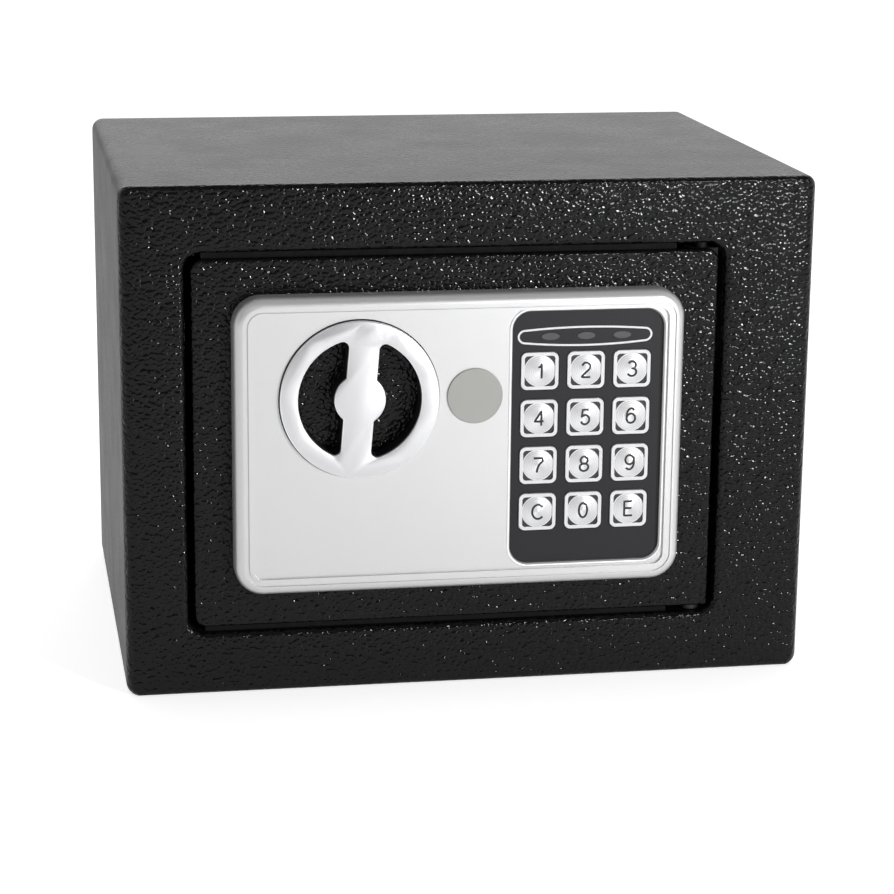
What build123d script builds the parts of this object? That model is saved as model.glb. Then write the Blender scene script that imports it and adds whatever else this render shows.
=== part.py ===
from build123d import *
import math
import os

# A small electronic home safe, in millimetres.
# X runs to the right, Y into the safe and Z up; the origin is on the floor under the middle of the body.
# At rest the door is shut and its bolts are drawn back, as after the code has been entered.

# Body of folded steel sheet
body_width = 230.0
body_depth = 170.0
body_height = 170.0
body_sheet = 1.2
body_edge_radius = 4.0
front_edge_radius = 1.6
frame_left = 20.7
frame_right = 30.7
frame_top = 21.9
frame_bottom = 20.9
opening_radius = 5.6
fold_radius = 2.0
lip_depth = 12.0
weld_gap = 0.1
back_flange_depth = 8.0
anchor_hole_radius = 5.0
back_anchor_spacing = 110.0
floor_anchor_spacing = 110.0
mat_thickness = 2.0
mat_margin = 1.5
mat_corner_radius = 3.0
mat_hole_margin = 2.0

# Door plate
door_gap = 2.0
door_recess = 0.8
door_thickness = 2.0
door_corner_radius = 4.0
door_edge_radius = 1.2
stop_gap = 0.3
stop_thickness = 1.2
stop_width = 4.0
stop_end_margin = 4.0

# Hinge
hinge_inset = 5.0
pin_radius = 2.0
pin_end = 1.0
running_gap = 0.08
fixed_gap = 0.05
lug_depth = 6.0
lug_height = 12.0
lug_edge_radius = 1.0
hinge_plate_thickness = 2.0
hinge_plate_left = 11.7
hinge_plate_right = 6.3
washer_radius = 3.0
washer_lift = 0.25
washer_play = 0.1

# Front panel, a plastic moulding on the door
panel_width = 149.0
panel_lift = 0.3
panel_rise = 8.0
panel_corner_radius = 9.5
panel_wall = 2.0
panel_round = 3.2
rim_width = 3.1
groove_width = 1.6
groove_depth = 0.5
ridge_width = 0.8
field_depth = 1.0
boss_radius = 3.2
boss_inset_side = 8.5
boss_inset_top = 9.0
boss_to_keypad = 6.8
panel_screw_radius = 1.4
panel_screw_tip_gap = 0.5
screw_hole_gap = 0.3
screw_head_radius = 2.8
screw_head_height = 1.6
screw_head_round = 0.6
screw_slot_width = 0.8
screw_slot_depth = 0.7

# Keypad
key_rows = (("1", "2", "3"), ("4", "5", "6"), ("7", "8", "9"), ("C", "0", "E"))
overlay_width = 50.6
overlay_height = 85.2
overlay_radius = 6.0
overlay_thickness = 1.0
overlay_sink = 1.2
overlay_from_side = 7.0
overlay_from_top = 6.4
overlay_from_bottom = 7.4
overlay_clearance = 0.15
pocket_chamfer = 0.4
ledge_width = 2.4
ledge_thickness = 1.0
tub_wall = 2.0
key_size = 12.4
key_corner_radius = 2.0
key_window_gap = 0.2
key_flange_margin = 0.3
key_flange_thickness = 0.8
key_rise = 0.6
key_rim_width = 1.1
key_rim_height = 0.4
key_disc_radius = 5.1
key_dome_height = 0.5
key_dome_proud = 0.2
key_travel = 0.8
key_pitch_across = 15.5
key_shift = -0.6
first_key_height = 17.4
key_back_gap = 0.1
lens_length = 6.0
lens_height = 2.4
lens_pitch = 12.0
lens_drop = 8.6
lens_proud = 0.1
lens_gap = 0.1
lens_to_key = 11.41
lens_depth = 1.5
led_radius = 1.5
led_gap = 0.3
board_thickness = 1.0
board_to_door = 0.5
stake_radius = 1.6
stake_tip_radius = 0.9
stake_tip_end = 0.2
stake_overlap = 0.1
switch_size = 6.0
switch_button_radius = 1.7
switch_button_height = 0.5
switch_gap = 0.1

# Knob and its spindle
knob_from_side = 40.9
knob_from_top = 33.8
knob_radius = 26.1
knob_opening_radius = 20.2
knob_hub_radius = 8.45
knob_bar_width = 10.0
knob_tip_radius = 2.0
knob_tilt = 4.5
knob_face_thickness = 1.5
knob_proud = 0.8
knob_body_inset = 0.3
knob_floor_gap = 0.6
well_gap = 0.35
well_wall = 1.4
spindle_radius = 4.0
spindle_flat = 3.0
spindle_in_knob = 5.2
spindle_end = 0.35
clip_radius = 7.0
clip_thickness = 0.8
clip_gap = 0.1
clip_mouth = 6.4

# Crank, carriage and bolts
crank_radius = 10.0
crank_swing = 90.0
crank_hub_radius = 6.5
crank_arm_radius = 4.0
crank_thickness = 2.4
crank_pin_radius = 2.0
crank_pin_end = 0.9
crank_slot_gap = 0.4
crank_to_clip = 0.4
carriage_sheet = 1.5
carriage_gap = 0.7
carriage_past_bolt = 1.0
carriage_width = 44.0
carriage_corner = 3.0
carriage_bend = 1.35
carriage_wall_gap = 0.86
flange_depth = 20.0
post_radius = 3.0
post_shoulder_radius = 4.5
post_head_height = 1.2
post_play = 0.3
post_to_bolt = 2.0
post_inset = 10.0
bolt_radius = 7.5
bolt_to_pillar = 3.0
bolt_behind_lip = 0.5
bolt_tip_to_lip = 5.8
bolt_tip_chamfer = 1.5
bolt_stud_radius = 4.0
bolt_head_radius = 5.5
bolt_head_height = 1.2

# Emergency lock under its cap
lock_to_keypad = 12.5
cap_radius = 9.2
cap_thickness = 0.8
cap_edge_round = 0.3
cap_skirt_radius = 8.0
cap_skirt_wall = 0.8
cap_skirt_depth = 2.8
cap_collar_wall = 1.5
cap_collar_depth = 2.0
lock_under_cap = 0.4
lock_barrel_radius = 7.7
lock_flange_radius = 10.0
lock_flange_thickness = 1.5
lock_body_radius = 8.0
lock_hole_gap = 0.2
lock_depth = 18.0
lock_nut_radius = 11.0
lock_nut_thickness = 3.0
plug_radius = 4.5
plug_end = 0.5
keyway_width = 1.2
keyway_height = 6.4
keyway_depth = 6.0
cam_width = 7.0
cam_length = 20.0
cam_thickness = 1.5
cam_screw_radius = 1.5
cam_screw_head_radius = 3.0

# Solenoid that frees the carriage
solenoid_width = 20.0
solenoid_depth = 15.0
solenoid_height = 30.0
solenoid_sheet = 1.2
spacer_shares = (0.2, 0.8)
coil_radius = 6.2
coil_flange = 1.0
coil_flange_step = 0.6
plunger_radius = 2.5
plunger_gap = 0.4
plunger_length = 23.0
nose_size = 6.0
nose_height = 1.8
nose_under_cam = 0.5
nose_under_tab = 1.0
nose_beside_tab = 1.0
nose_to_cam = 1.5
tab_past_nose = 0.6
lug_reach = 0.3
release_lug_width = 5.0
tab_width = 6.0
tab_ramp = 3.0
tab_height = 10.0
spring_wire = 0.3
spring_radius = 3.4
spring_turns = 2.5
spring_rest_height = 3.2

# Inner cover and what it carries
cover_sheet = 1.0
cover_left_inset = 10.3
cover_right_inset = 8.3
cover_lug_gap = 1.1
cover_depth = 32.2
cover_edge_radius = 2.0
cover_rear_radius = 1.8
cover_bolt_gap = 0.35
pillar_radius = 3.0
pillar_inset_side = 4.6
pillar_inset_top = 5.0
pillar_from_battery = 26.0
pillar_thread = 6.0
cover_screw_tip_gap = 1.0

# Battery box with four AA cells
cell_radius = 7.25
cell_length = 49.2
cell_nub_radius = 2.7
cell_nub_length = 1.3
cell_spacing = 14.9
cell_count = 4
battery_wall = 1.2
battery_end_room = 2.55
battery_floor_gap = 0.25
battery_right_inset = 4.0
battery_bottom_inset = 2.0
battery_rim_proud = 0.1
cell_under_rim = 0.5
battery_flange = 0.6
battery_flange_thickness = 1.0
battery_slot_gap = 0.3
lid_thickness = 1.5
lid_gap = 0.25
lid_hook = 0.8
lid_hook_reach = 2.0
lid_ridge_count = 5
lid_ridge_pitch = 2.4
lid_ridge_width = 0.8
lid_ridge_height = 0.8
lid_ridge_length = 24.0
lid_ridge_start = 7.2
contact_thickness = 0.4
contact_width = 8.0
contact_bow = 2.0

# Main board and reset button
main_board_width = 46.0
main_board_height = 26.0
main_board_thickness = 1.6
main_board_to_battery = 4.0
main_board_shift = 2.0
main_board_standoff = 3.2
snap_post_radius = 2.5
snap_tip_radius = 1.2
snap_tip_end = 0.6
snap_inset = 3.0
chip_share = 0.3
chip_width = 12.0
chip_height = 8.0
chip_thickness = 2.0
capacitor_share = 0.58
capacitor_radius = 4.0
capacitor_height = 10.0
connector_share = 0.8
connector_width = 10.0
connector_height = 5.0
connector_depth = 6.0
header_width = 20.0
header_height = 4.0
header_slot_gap = 1.5
header_drop = 4.0
reset_inset_side = 10.0
reset_inset_top = 17.0
reset_radius = 2.5
reset_gap = 0.35
reset_proud = 1.8
reset_round = 0.6
reset_travel = 1.5
reset_housing = 8.0
reset_housing_depth = 6.0
reset_floor = 1.0

# Places that follow from the sizes
front = -body_depth / 2
back = body_depth / 2
opening_left = -body_width / 2 + frame_left
opening_right = body_width / 2 - frame_right
opening_bottom = frame_bottom
opening_top = body_height - frame_top
opening_width = opening_right - opening_left
opening_height = opening_top - opening_bottom
door_x = (opening_left + opening_right) / 2
door_z = (opening_bottom + opening_top) / 2
lip_back = front + lip_depth

door_width = opening_width - 2 * door_gap
door_height = opening_height - 2 * door_gap
door_left = door_x - door_width / 2
door_right = door_x + door_width / 2
door_bottom = door_z - door_height / 2
door_top = door_z + door_height / 2
door_front = front + door_recess
door_back = door_front + door_thickness
hinge_x = door_right - hinge_inset
hinge_y = door_back + lug_depth / 2

panel_height = overlay_height + overlay_from_top + overlay_from_bottom
panel_x = door_x
panel_z = door_z + panel_lift
panel_left = panel_x - panel_width / 2
panel_right = panel_x + panel_width / 2
panel_top = panel_z + panel_height / 2
panel_bottom = panel_z - panel_height / 2
panel_front = door_front - panel_rise
field_front = panel_front + field_depth
field_back = field_front + panel_wall
field_inset = rim_width + groove_width + ridge_width

overlay_x = panel_right - overlay_from_side - overlay_width / 2
overlay_z = panel_top - overlay_from_top - overlay_height / 2
overlay_front = field_front + overlay_sink
overlay_back = overlay_front + overlay_thickness
ledge_back = overlay_back + ledge_thickness
key_front = overlay_front - key_rise
flange_front = overlay_back + key_back_gap
flange_back = flange_front + key_flange_thickness
key_flange_size = key_size + 2 * key_flange_margin
board_back = door_front - board_to_door
board_front = board_back - board_thickness
lens_z = overlay_z + overlay_height / 2 - lens_drop
key_pitch_up = (overlay_height - lens_drop - lens_to_key - first_key_height) / (len(key_rows) - 1)

knob_x = panel_left + knob_from_side
knob_z = panel_top - knob_from_top
knob_front = field_front - field_depth - knob_proud
knob_face_back = knob_front + knob_face_thickness
lock_x = overlay_x - overlay_width / 2 - lock_to_keypad
lock_z = knob_z

clip_front = door_back + clip_gap
clip_back = clip_front + clip_thickness
crank_front = clip_back + crank_to_clip
crank_back = crank_front + crank_thickness
carriage_front = crank_back + carriage_gap
carriage_back = carriage_front + carriage_sheet
crank_rise = crank_radius * math.cos(math.radians(crank_swing / 2))
crank_offset = crank_radius * math.sin(math.radians(crank_swing / 2))
stroke = 2 * crank_offset

cover_left = door_left + cover_left_inset
cover_right = door_right - cover_right_inset
cover_bottom = door_bottom + lug_height + cover_lug_gap
cover_top = door_top - lug_height - cover_lug_gap
cover_back = door_back + cover_depth
cover_inside = cover_back - cover_sheet

flange_left = cover_left + cover_sheet + stroke + carriage_wall_gap
bolt_y = lip_back + bolt_behind_lip + bolt_radius
bolt_half_spacing = (cover_top - pillar_inset_top - pillar_radius - bolt_to_pillar - bolt_radius
                     - door_z)
carriage_height = 2 * (bolt_half_spacing + bolt_radius + carriage_past_bolt)
post_half_spacing = bolt_half_spacing - post_to_bolt
bolt_tip = opening_left + bolt_tip_to_lip
post_x = flange_left + post_inset

lock_back = door_back + lock_depth
cam_front = lock_back + plug_end
nose_top = lock_z - cam_length - nose_under_cam
solenoid_y = cam_front - nose_to_cam - nose_size / 2
solenoid_top = nose_top - nose_height - spring_rest_height
tab_bottom = nose_top + nose_under_tab
tab_left = lock_x + nose_size / 2 + nose_beside_tab

battery_right = cover_right - battery_right_inset
battery_length = cell_length + cell_nub_length + 2 * battery_end_room + 2 * battery_wall
battery_left = battery_right - battery_length
battery_bottom = cover_bottom + battery_bottom_inset
battery_height = cell_count * cell_spacing + 2 * battery_wall
battery_top = battery_bottom + battery_height
battery_rim = cover_back + battery_rim_proud
lid_front = battery_rim + lid_gap
lid_back = lid_front + lid_thickness
cell_y = battery_rim - cell_under_rim - cell_radius
battery_floor = cell_y - cell_radius - battery_floor_gap

main_board_left = battery_left + main_board_shift
main_board_bottom = battery_top + main_board_to_battery
main_board_front = door_back + main_board_standoff
main_board_back = main_board_front + main_board_thickness
header_x = main_board_left + main_board_width / 2
header_z = main_board_bottom + main_board_height / 2 - header_drop
reset_x = cover_right - reset_inset_side
reset_z = cover_top - reset_inset_top


def pad(outline, y_front, y_back):
    """A sketch drawn in X and Z, carried straight back from y_front to y_back."""
    return extrude(Plane.XZ.offset(-y_front) * outline, amount=y_back - y_front, dir=(0, 1, 0))


def rounded(x, z, width, height, radius):
    """A rounded rectangle about a point in X and Z."""
    return Pos(x, z) * RectangleRounded(width, height, radius)


def block(x0, x1, y0, y1, z0, z1):
    """A plain block between two corners."""
    return Pos((x0 + x1) / 2, (y0 + y1) / 2, (z0 + z1) / 2) * Box(x1 - x0, y1 - y0, z1 - z0)


def rod_x(x0, x1, y, z, radius):
    """A round bar along X."""
    return extrude(Plane(origin=(x0, y, z), z_dir=(1, 0, 0)) * Circle(radius), amount=x1 - x0)


def rod_y(x, z, y0, y1, radius):
    """A round bar along Y."""
    return extrude(Plane(origin=(x, y0, z), z_dir=(0, 1, 0)) * Circle(radius), amount=y1 - y0)


def rod_z(x, y, z0, z1, radius):
    """A round bar along Z."""
    return extrude(Plane(origin=(x, y, z0), z_dir=(0, 0, 1)) * Circle(radius), amount=z1 - z0)


def edges_at_y(solid, y):
    """The edges that lie wholly in the plane at y."""
    return solid.edges().filter_by(lambda e: abs(e.bounding_box().min.Y - y) < 1e-4
                                   and abs(e.bounding_box().max.Y - y) < 1e-4)


def within(edges, x, z, width, height):
    """Those of the edges whose middle lies in a rectangle about a point in X and Z."""
    return edges.filter_by(lambda e: abs(e.center().X - x) < width / 2 + 0.01
                           and abs(e.center().Z - z) < height / 2 + 0.01)


def slotted_screw(x, z, y_seat, y_tip):
    """A pan-head screw along Y whose head sits on y_seat; y_tip is on the other side."""
    way = 1 if y_tip > y_seat else -1
    y_head = y_seat - way * screw_head_height
    head = rod_y(x, z, min(y_seat, y_head), max(y_seat, y_head), screw_head_radius)
    head = fillet(edges_at_y(head, y_head), screw_head_round)
    shank = rod_y(x, z, min(y_seat, y_tip), max(y_seat, y_tip), panel_screw_radius)
    y_slot = y_head + way * screw_slot_depth
    slot = block(x - screw_head_radius, x + screw_head_radius, min(y_head, y_slot), max(y_head, y_slot),
                 z - screw_slot_width / 2, z + screw_slot_width / 2)
    return head + shank - slot


def opening_outline(grow):
    """The door opening's outline, grown by a distance on every side."""
    return rounded(door_x, door_z, opening_width + 2 * grow, opening_height + 2 * grow,
                   opening_radius + grow)


def make_body_shell():
    """Wrapper and front frame: one folded sheet, open at the back, with a lip round the door opening."""
    outer = block(-body_width / 2, body_width / 2, front, back, 0, body_height)
    outer = fillet(outer.edges().filter_by(Axis.Y), body_edge_radius)
    outer = fillet(edges_at_y(outer, front), front_edge_radius)
    inside = rounded(0, body_height / 2, body_width - 2 * body_sheet, body_height - 2 * body_sheet,
                     body_edge_radius - body_sheet)
    shell = outer - pad(inside, front + body_sheet, back + body_sheet)
    shell += pad(opening_outline(body_sheet), front + body_sheet, lip_back)
    shell -= pad(opening_outline(0), front - body_sheet, lip_back + body_sheet)
    root = edges_at_y(shell, front + body_sheet)
    grown = 2 * body_sheet
    shell = fillet(within(root, door_x, door_z, opening_width + grown, opening_height + grown),
                   fold_radius - body_sheet)
    mouth = edges_at_y(shell, front)
    shell = fillet(within(mouth, door_x, door_z, opening_width, opening_height), fold_radius)
    shell -= rod_z(hinge_x, hinge_y, opening_bottom - 2 * body_sheet, opening_bottom + body_sheet,
                   pin_radius + running_gap)
    shell -= rod_z(hinge_x, hinge_y, opening_top - body_sheet, opening_top + 2 * body_sheet,
                   pin_radius + running_gap)
    for side in (-1, 1):
        shell -= rod_z(side * floor_anchor_spacing / 2, 0, -body_sheet, 2 * body_sheet, anchor_hole_radius)
    return shell


def make_back_panel():
    """Back sheet with a rim folded forwards, set inside the wrapper and drilled for two anchors."""
    width = body_width - 2 * body_sheet - 2 * weld_gap
    height = body_height - 2 * body_sheet - 2 * weld_gap
    radius = body_edge_radius - body_sheet - weld_gap
    panel = pad(rounded(0, body_height / 2, width, height, radius),
                back - body_sheet - back_flange_depth, back)
    hollow = rounded(0, body_height / 2, width - 2 * body_sheet, height - 2 * body_sheet,
                     radius - body_sheet)
    panel -= pad(hollow, back - body_sheet - back_flange_depth, back - body_sheet)
    for side in (-1, 1):
        panel -= rod_y(side * back_anchor_spacing / 2, body_height / 2, back - 2 * body_sheet, back + body_sheet,
                       anchor_hole_radius)
    return panel


def make_floor_mat():
    """Felt mat on the floor, cut out round the two floor anchors."""
    half_width = body_width / 2 - body_sheet - mat_margin - body_edge_radius / 2
    y0 = lip_back + mat_margin
    y1 = back - body_sheet - back_flange_depth - mat_margin
    mat = extrude(Plane.XY.offset(body_sheet) * Pos(0, (y0 + y1) / 2)
                  * RectangleRounded(2 * half_width, y1 - y0, mat_corner_radius), amount=mat_thickness)
    for side in (-1, 1):
        mat -= rod_z(side * floor_anchor_spacing / 2, 0, 0, body_sheet + 2 * mat_thickness,
                     anchor_hole_radius + mat_hole_margin)
    return mat


def make_hinge_plates():
    """Two plates welded outside the lips, so that the hinge pins bear on more than the sheet."""
    plates = []
    y0 = front + body_sheet + weld_gap + fold_radius - body_sheet
    for z0 in (opening_bottom - body_sheet - hinge_plate_thickness, opening_top + body_sheet):
        plate = block(hinge_x - hinge_plate_left, hinge_x + hinge_plate_right, y0, lip_back,
                      z0, z0 + hinge_plate_thickness)
        plates.append(plate - rod_z(hinge_x, hinge_y, z0 - 1, z0 + hinge_plate_thickness + 1,
                                    pin_radius + running_gap))
    return plates


def make_door_stops():
    """Strips along the top and bottom lips that the shut door rests against."""
    y0 = door_back + stop_gap
    x0 = opening_left + opening_radius
    x1 = hinge_x - hinge_inset - stop_end_margin
    low = block(x0, x1, y0, y0 + stop_thickness, opening_bottom, opening_bottom + stop_width)
    high = block(x0, x1, y0, y0 + stop_thickness, opening_top - stop_width, opening_top)
    return [low, high]


def make_hinge_washer():
    """Nylon washer under the lower hinge lug, just clear of the opening's rounded corner."""
    z0 = opening_bottom + washer_lift
    z1 = opening_bottom + door_gap - washer_play
    return (rod_z(hinge_x, hinge_y, z0, z1, washer_radius)
            - rod_z(hinge_x, hinge_y, z0 - 1, z1 + 1, pin_radius + running_gap))


def make_door_plate():
    """Door plate with holes for the knob spindle, the lock, the panel screws and the board header."""
    plate = pad(rounded(door_x, door_z, door_width, door_height, door_corner_radius), door_front, door_back)
    plate = fillet(edges_at_y(plate, door_front), door_edge_radius)
    holes = [Pos(knob_x, knob_z) * Circle(spindle_radius + running_gap),
             Pos(lock_x, lock_z) * Circle(lock_body_radius + lock_hole_gap),
             Pos(header_x, header_z) * Rectangle(header_width + 2 * header_slot_gap,
                                                 header_height + 2 * header_slot_gap)]
    for x, z in boss_places():
        holes.append(Pos(x, z) * Circle(panel_screw_radius + screw_hole_gap))
    for hole in holes:
        plate -= pad(hole, door_front - 1, door_back + 1)
    return plate


def make_hinge_lugs():
    """Two drilled lugs welded on the back of the door at its hinge side."""
    lugs = []
    for z0 in (door_bottom, door_top - lug_height):
        lug = block(hinge_x - hinge_inset, hinge_x + hinge_inset, door_back, door_back + lug_depth,
                    z0, z0 + lug_height)
        rear = lug.edges().filter_by(Axis.Z).group_by(Axis.Y)[-1]
        lug = fillet(rear, lug_edge_radius)
        lugs.append(lug - rod_z(hinge_x, hinge_y, z0 - 1, z0 + lug_height + 1, pin_radius + fixed_gap))
    return lugs


def make_hinge_pins():
    """Two pins, pressed into the lugs and running in the lips and hinge plates."""
    reach = door_gap + body_sheet + hinge_plate_thickness + pin_end
    low = rod_z(hinge_x, hinge_y, door_bottom - reach, door_bottom + lug_height - pin_end, pin_radius)
    high = rod_z(hinge_x, hinge_y, door_top - lug_height + pin_end, door_top + reach, pin_radius)
    return [low, high]


def boss_places():
    """The four screw bosses of the front panel."""
    left = panel_left + boss_inset_side
    right = overlay_x - overlay_width / 2 - boss_to_keypad
    low = panel_bottom + boss_inset_top
    high = panel_top - boss_inset_top
    return [(left, low), (left, high), (right, low), (right, high)]


def overlay_outline(grow):
    """The keypad overlay's outline, grown by a distance on every side."""
    return rounded(overlay_x, overlay_z, overlay_width + 2 * grow, overlay_height + 2 * grow,
                   overlay_radius + grow)


def panel_outline(inset):
    """The front panel's outline, drawn in by a distance on every side."""
    return rounded(panel_x, panel_z, panel_width - 2 * inset, panel_height - 2 * inset,
                   panel_corner_radius - inset)


def stake_places():
    """The four stakes that hold the keypad board."""
    across = overlay_width / 2 - ledge_width + stake_overlap
    up = overlay_height / 2 - ledge_width + stake_overlap
    return [(overlay_x + i * across, overlay_z + j * up) for i in (-1, 1) for j in (-1, 1)]


def make_front_panel():
    """Moulded panel: rim, groove and ridge round a sunk field, knob well, lock hole and key pocket."""
    panel = pad(panel_outline(0), panel_front, door_front)
    panel = fillet(edges_at_y(panel, panel_front), panel_round)
    panel -= pad(panel_outline(panel_wall), field_back, door_front)
    groove = panel_outline(rim_width) - panel_outline(rim_width + groove_width)
    panel -= pad(groove, panel_front, panel_front + groove_depth)
    panel -= pad(panel_outline(field_inset), panel_front, field_front)
    panel += pad(overlay_outline(tub_wall), field_front + panel_wall / 2, ledge_back)
    knob_centre = Pos(knob_x, knob_z)
    lock_centre = Pos(lock_x, lock_z)
    well_radius = knob_radius + well_gap
    panel += pad(knob_centre * Circle(well_radius + well_wall), field_front + panel_wall / 2, door_front)
    panel += pad(lock_centre * Circle(cap_skirt_radius + running_gap + cap_collar_wall),
                 field_front + panel_wall / 2, field_back + cap_collar_depth)
    for x, z in boss_places():
        panel += rod_y(x, z, field_front + panel_wall / 2, door_front, boss_radius)
        panel -= rod_y(x, z, field_back, door_front, panel_screw_radius + fixed_gap)
    panel -= pad(knob_centre * Circle(well_radius), panel_front, door_front)
    panel -= pad(lock_centre * Circle(cap_skirt_radius + running_gap), panel_front, door_front)
    panel -= pad(overlay_outline(overlay_clearance), panel_front, overlay_back)
    panel -= pad(overlay_outline(-ledge_width), panel_front, ledge_back)
    pocket = within(edges_at_y(panel, field_front), overlay_x, overlay_z,
                    overlay_width + 2 * overlay_clearance, overlay_height + 2 * overlay_clearance)
    panel = chamfer(pocket, pocket_chamfer)
    for x, z in stake_places():
        panel += rod_y(x, z, ledge_back, board_front, stake_radius)
        panel += rod_y(x, z, board_front, board_back + stake_tip_end, stake_tip_radius)
    return panel


def make_panel_screws():
    """Four screws through the door plate into the panel's bosses."""
    return [slotted_screw(x, z, door_back, field_back + panel_screw_tip_gap) for x, z in boss_places()]


def key_places():
    """Each key's label and centre, from the top row down."""
    bottom = overlay_z - overlay_height / 2 + first_key_height
    places = {}
    for r, labels in enumerate(key_rows):
        for c, label in enumerate(labels):
            places[label] = (overlay_x + key_shift + (c - 1) * key_pitch_across,
                             bottom + (len(key_rows) - 1 - r) * key_pitch_up)
    return places


def lens_places():
    """Centres of the three lamp lenses."""
    return [(overlay_x + key_shift + i * lens_pitch, lens_z) for i in (-1, 0, 1)]


def make_keypad_overlay():
    """Thin dark plate over the keys, with a window for each key and lens."""
    overlay = pad(overlay_outline(0), overlay_front, overlay_back)
    window = key_size + 2 * key_window_gap
    for x, z in key_places().values():
        overlay -= pad(rounded(x, z, window, window, key_corner_radius + key_window_gap),
                       overlay_front - 1, overlay_back + 1)
    for x, z in lens_places():
        overlay -= pad(Pos(x, z) * Ellipse(lens_length / 2 + lens_gap, lens_height / 2 + lens_gap),
                       overlay_front - 1, overlay_back + 1)
    return overlay


def make_led_lenses():
    """Three oval lenses in the overlay."""
    lens_front = overlay_front - lens_proud
    return [pad(Pos(x, z) * Ellipse(lens_length / 2, lens_height / 2), lens_front, lens_front + lens_depth)
            for x, z in lens_places()]


def make_key(x, z):
    """A square key with a raised rim, a round domed pad inside it and a flange behind the overlay."""
    key = pad(rounded(x, z, key_size, key_size, key_corner_radius), key_front, flange_front)
    inner = key_size - 2 * key_rim_width
    key -= pad(rounded(x, z, inner, inner, key_corner_radius - key_rim_width / 2),
               key_front, key_front + key_rim_height)
    key += pad(Pos(x, z) * Rectangle(key_flange_size, key_flange_size), flange_front, flange_back)
    dome_radius = (key_disc_radius ** 2 + key_dome_height ** 2) / (2 * key_dome_height)
    dome_front = key_front - key_dome_proud
    ball = Pos(x, dome_front + dome_radius, z) * Sphere(dome_radius)
    disc = rod_y(x, z, dome_front, flange_front, key_disc_radius)
    return key + (disc & ball)


def make_keypad_board():
    """Circuit board behind the keys, with holes for its four stakes."""
    grow = stake_radius - ledge_width + stake_overlap
    board = pad(Pos(overlay_x, overlay_z) * Rectangle(overlay_width + 2 * grow, overlay_height + 2 * grow),
                board_front, board_back)
    for x, z in stake_places():
        board -= rod_y(x, z, board_front - 1, board_back + 1, stake_tip_radius + running_gap)
    return board


def make_keypad_parts():
    """A switch behind each key and a lamp behind each lens."""
    parts = []
    switch_front = flange_back + key_travel + switch_gap
    body_front = switch_front + switch_button_height
    for x, z in key_places().values():
        body = pad(Pos(x, z) * Rectangle(switch_size, switch_size), body_front, board_front)
        parts.append(body + rod_y(x, z, switch_front, body_front, switch_button_radius))
    lens_back = overlay_front - lens_proud + lens_depth
    for x, z in lens_places():
        parts.append(rod_y(x, z, lens_back + led_gap, board_front, led_radius))
    return parts


def knob_outline(radius):
    """A disc with two D-shaped openings either side of a crossbar with a round hub."""
    hollow = Circle(knob_opening_radius) - Rectangle(knob_bar_width, 3 * knob_radius)
    hollow -= Circle(knob_hub_radius)
    tips = [v for v in hollow.vertices() if abs(v.Y) > knob_hub_radius]
    hollow = fillet(tips, knob_tip_radius)
    return Pos(knob_x, knob_z) * Rot(0, 0, -knob_tilt) * (Circle(radius) - hollow)


def make_knob_face():
    """Bright disc on the front of the knob."""
    return pad(knob_outline(knob_radius), knob_front, knob_face_back)


def make_knob_body():
    """Deep dark moulding behind the disc, bored for the spindle."""
    body = pad(knob_outline(knob_radius - knob_body_inset), knob_face_back, door_front - knob_floor_gap)
    floor = door_front - knob_floor_gap
    return body - rod_y(knob_x, knob_z, floor - spindle_in_knob, floor + 1, spindle_radius + fixed_gap)


def make_knob_spindle():
    """Round spindle with a flat where it carries the crank."""
    start = door_front - knob_floor_gap - spindle_in_knob + fixed_gap
    spindle = rod_y(knob_x, knob_z, start, crank_back + spindle_end, spindle_radius)
    return spindle - block(knob_x + spindle_flat, knob_x + spindle_radius + 1, crank_front,
                           carriage_front, knob_z - spindle_radius, knob_z + spindle_radius)


def make_knob_clip():
    """Retaining ring behind the door plate, open on one side."""
    ring = rod_y(knob_x, knob_z, clip_front, clip_back, clip_radius)
    ring -= rod_y(knob_x, knob_z, clip_front - 1, clip_back + 1, spindle_radius + fixed_gap)
    mouth = block(knob_x - clip_mouth / 2, knob_x + clip_mouth / 2, clip_front - 1, clip_back + 1,
                  knob_z - clip_radius - 1, knob_z)
    return ring - mouth


def make_knob_crank():
    """Crank on the spindle, whose pin drives the carriage."""
    pin_x = knob_x + crank_offset
    pin_z = knob_z + crank_rise
    hub = rod_y(knob_x, knob_z, crank_front, crank_back, crank_hub_radius)
    arm = Pos(knob_x, knob_z) * Rot(0, 0, 90 - crank_swing / 2) * Pos(crank_radius / 2, 0) * Rectangle(
        crank_radius, 2 * crank_arm_radius)
    crank = hub + pad(arm, crank_front, crank_back) + rod_y(pin_x, pin_z, crank_front, crank_back,
                                                            crank_arm_radius)
    bore = Pos(knob_x, knob_z) * (Circle(spindle_radius + fixed_gap)
                                  - Pos(spindle_flat + fixed_gap + spindle_radius, 0)
                                  * Rectangle(2 * spindle_radius, 4 * spindle_radius))
    crank -= pad(bore, crank_front - 1, crank_back + 1)
    return crank + rod_y(pin_x, pin_z, crank_back, carriage_back + crank_pin_end, crank_pin_radius)


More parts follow.
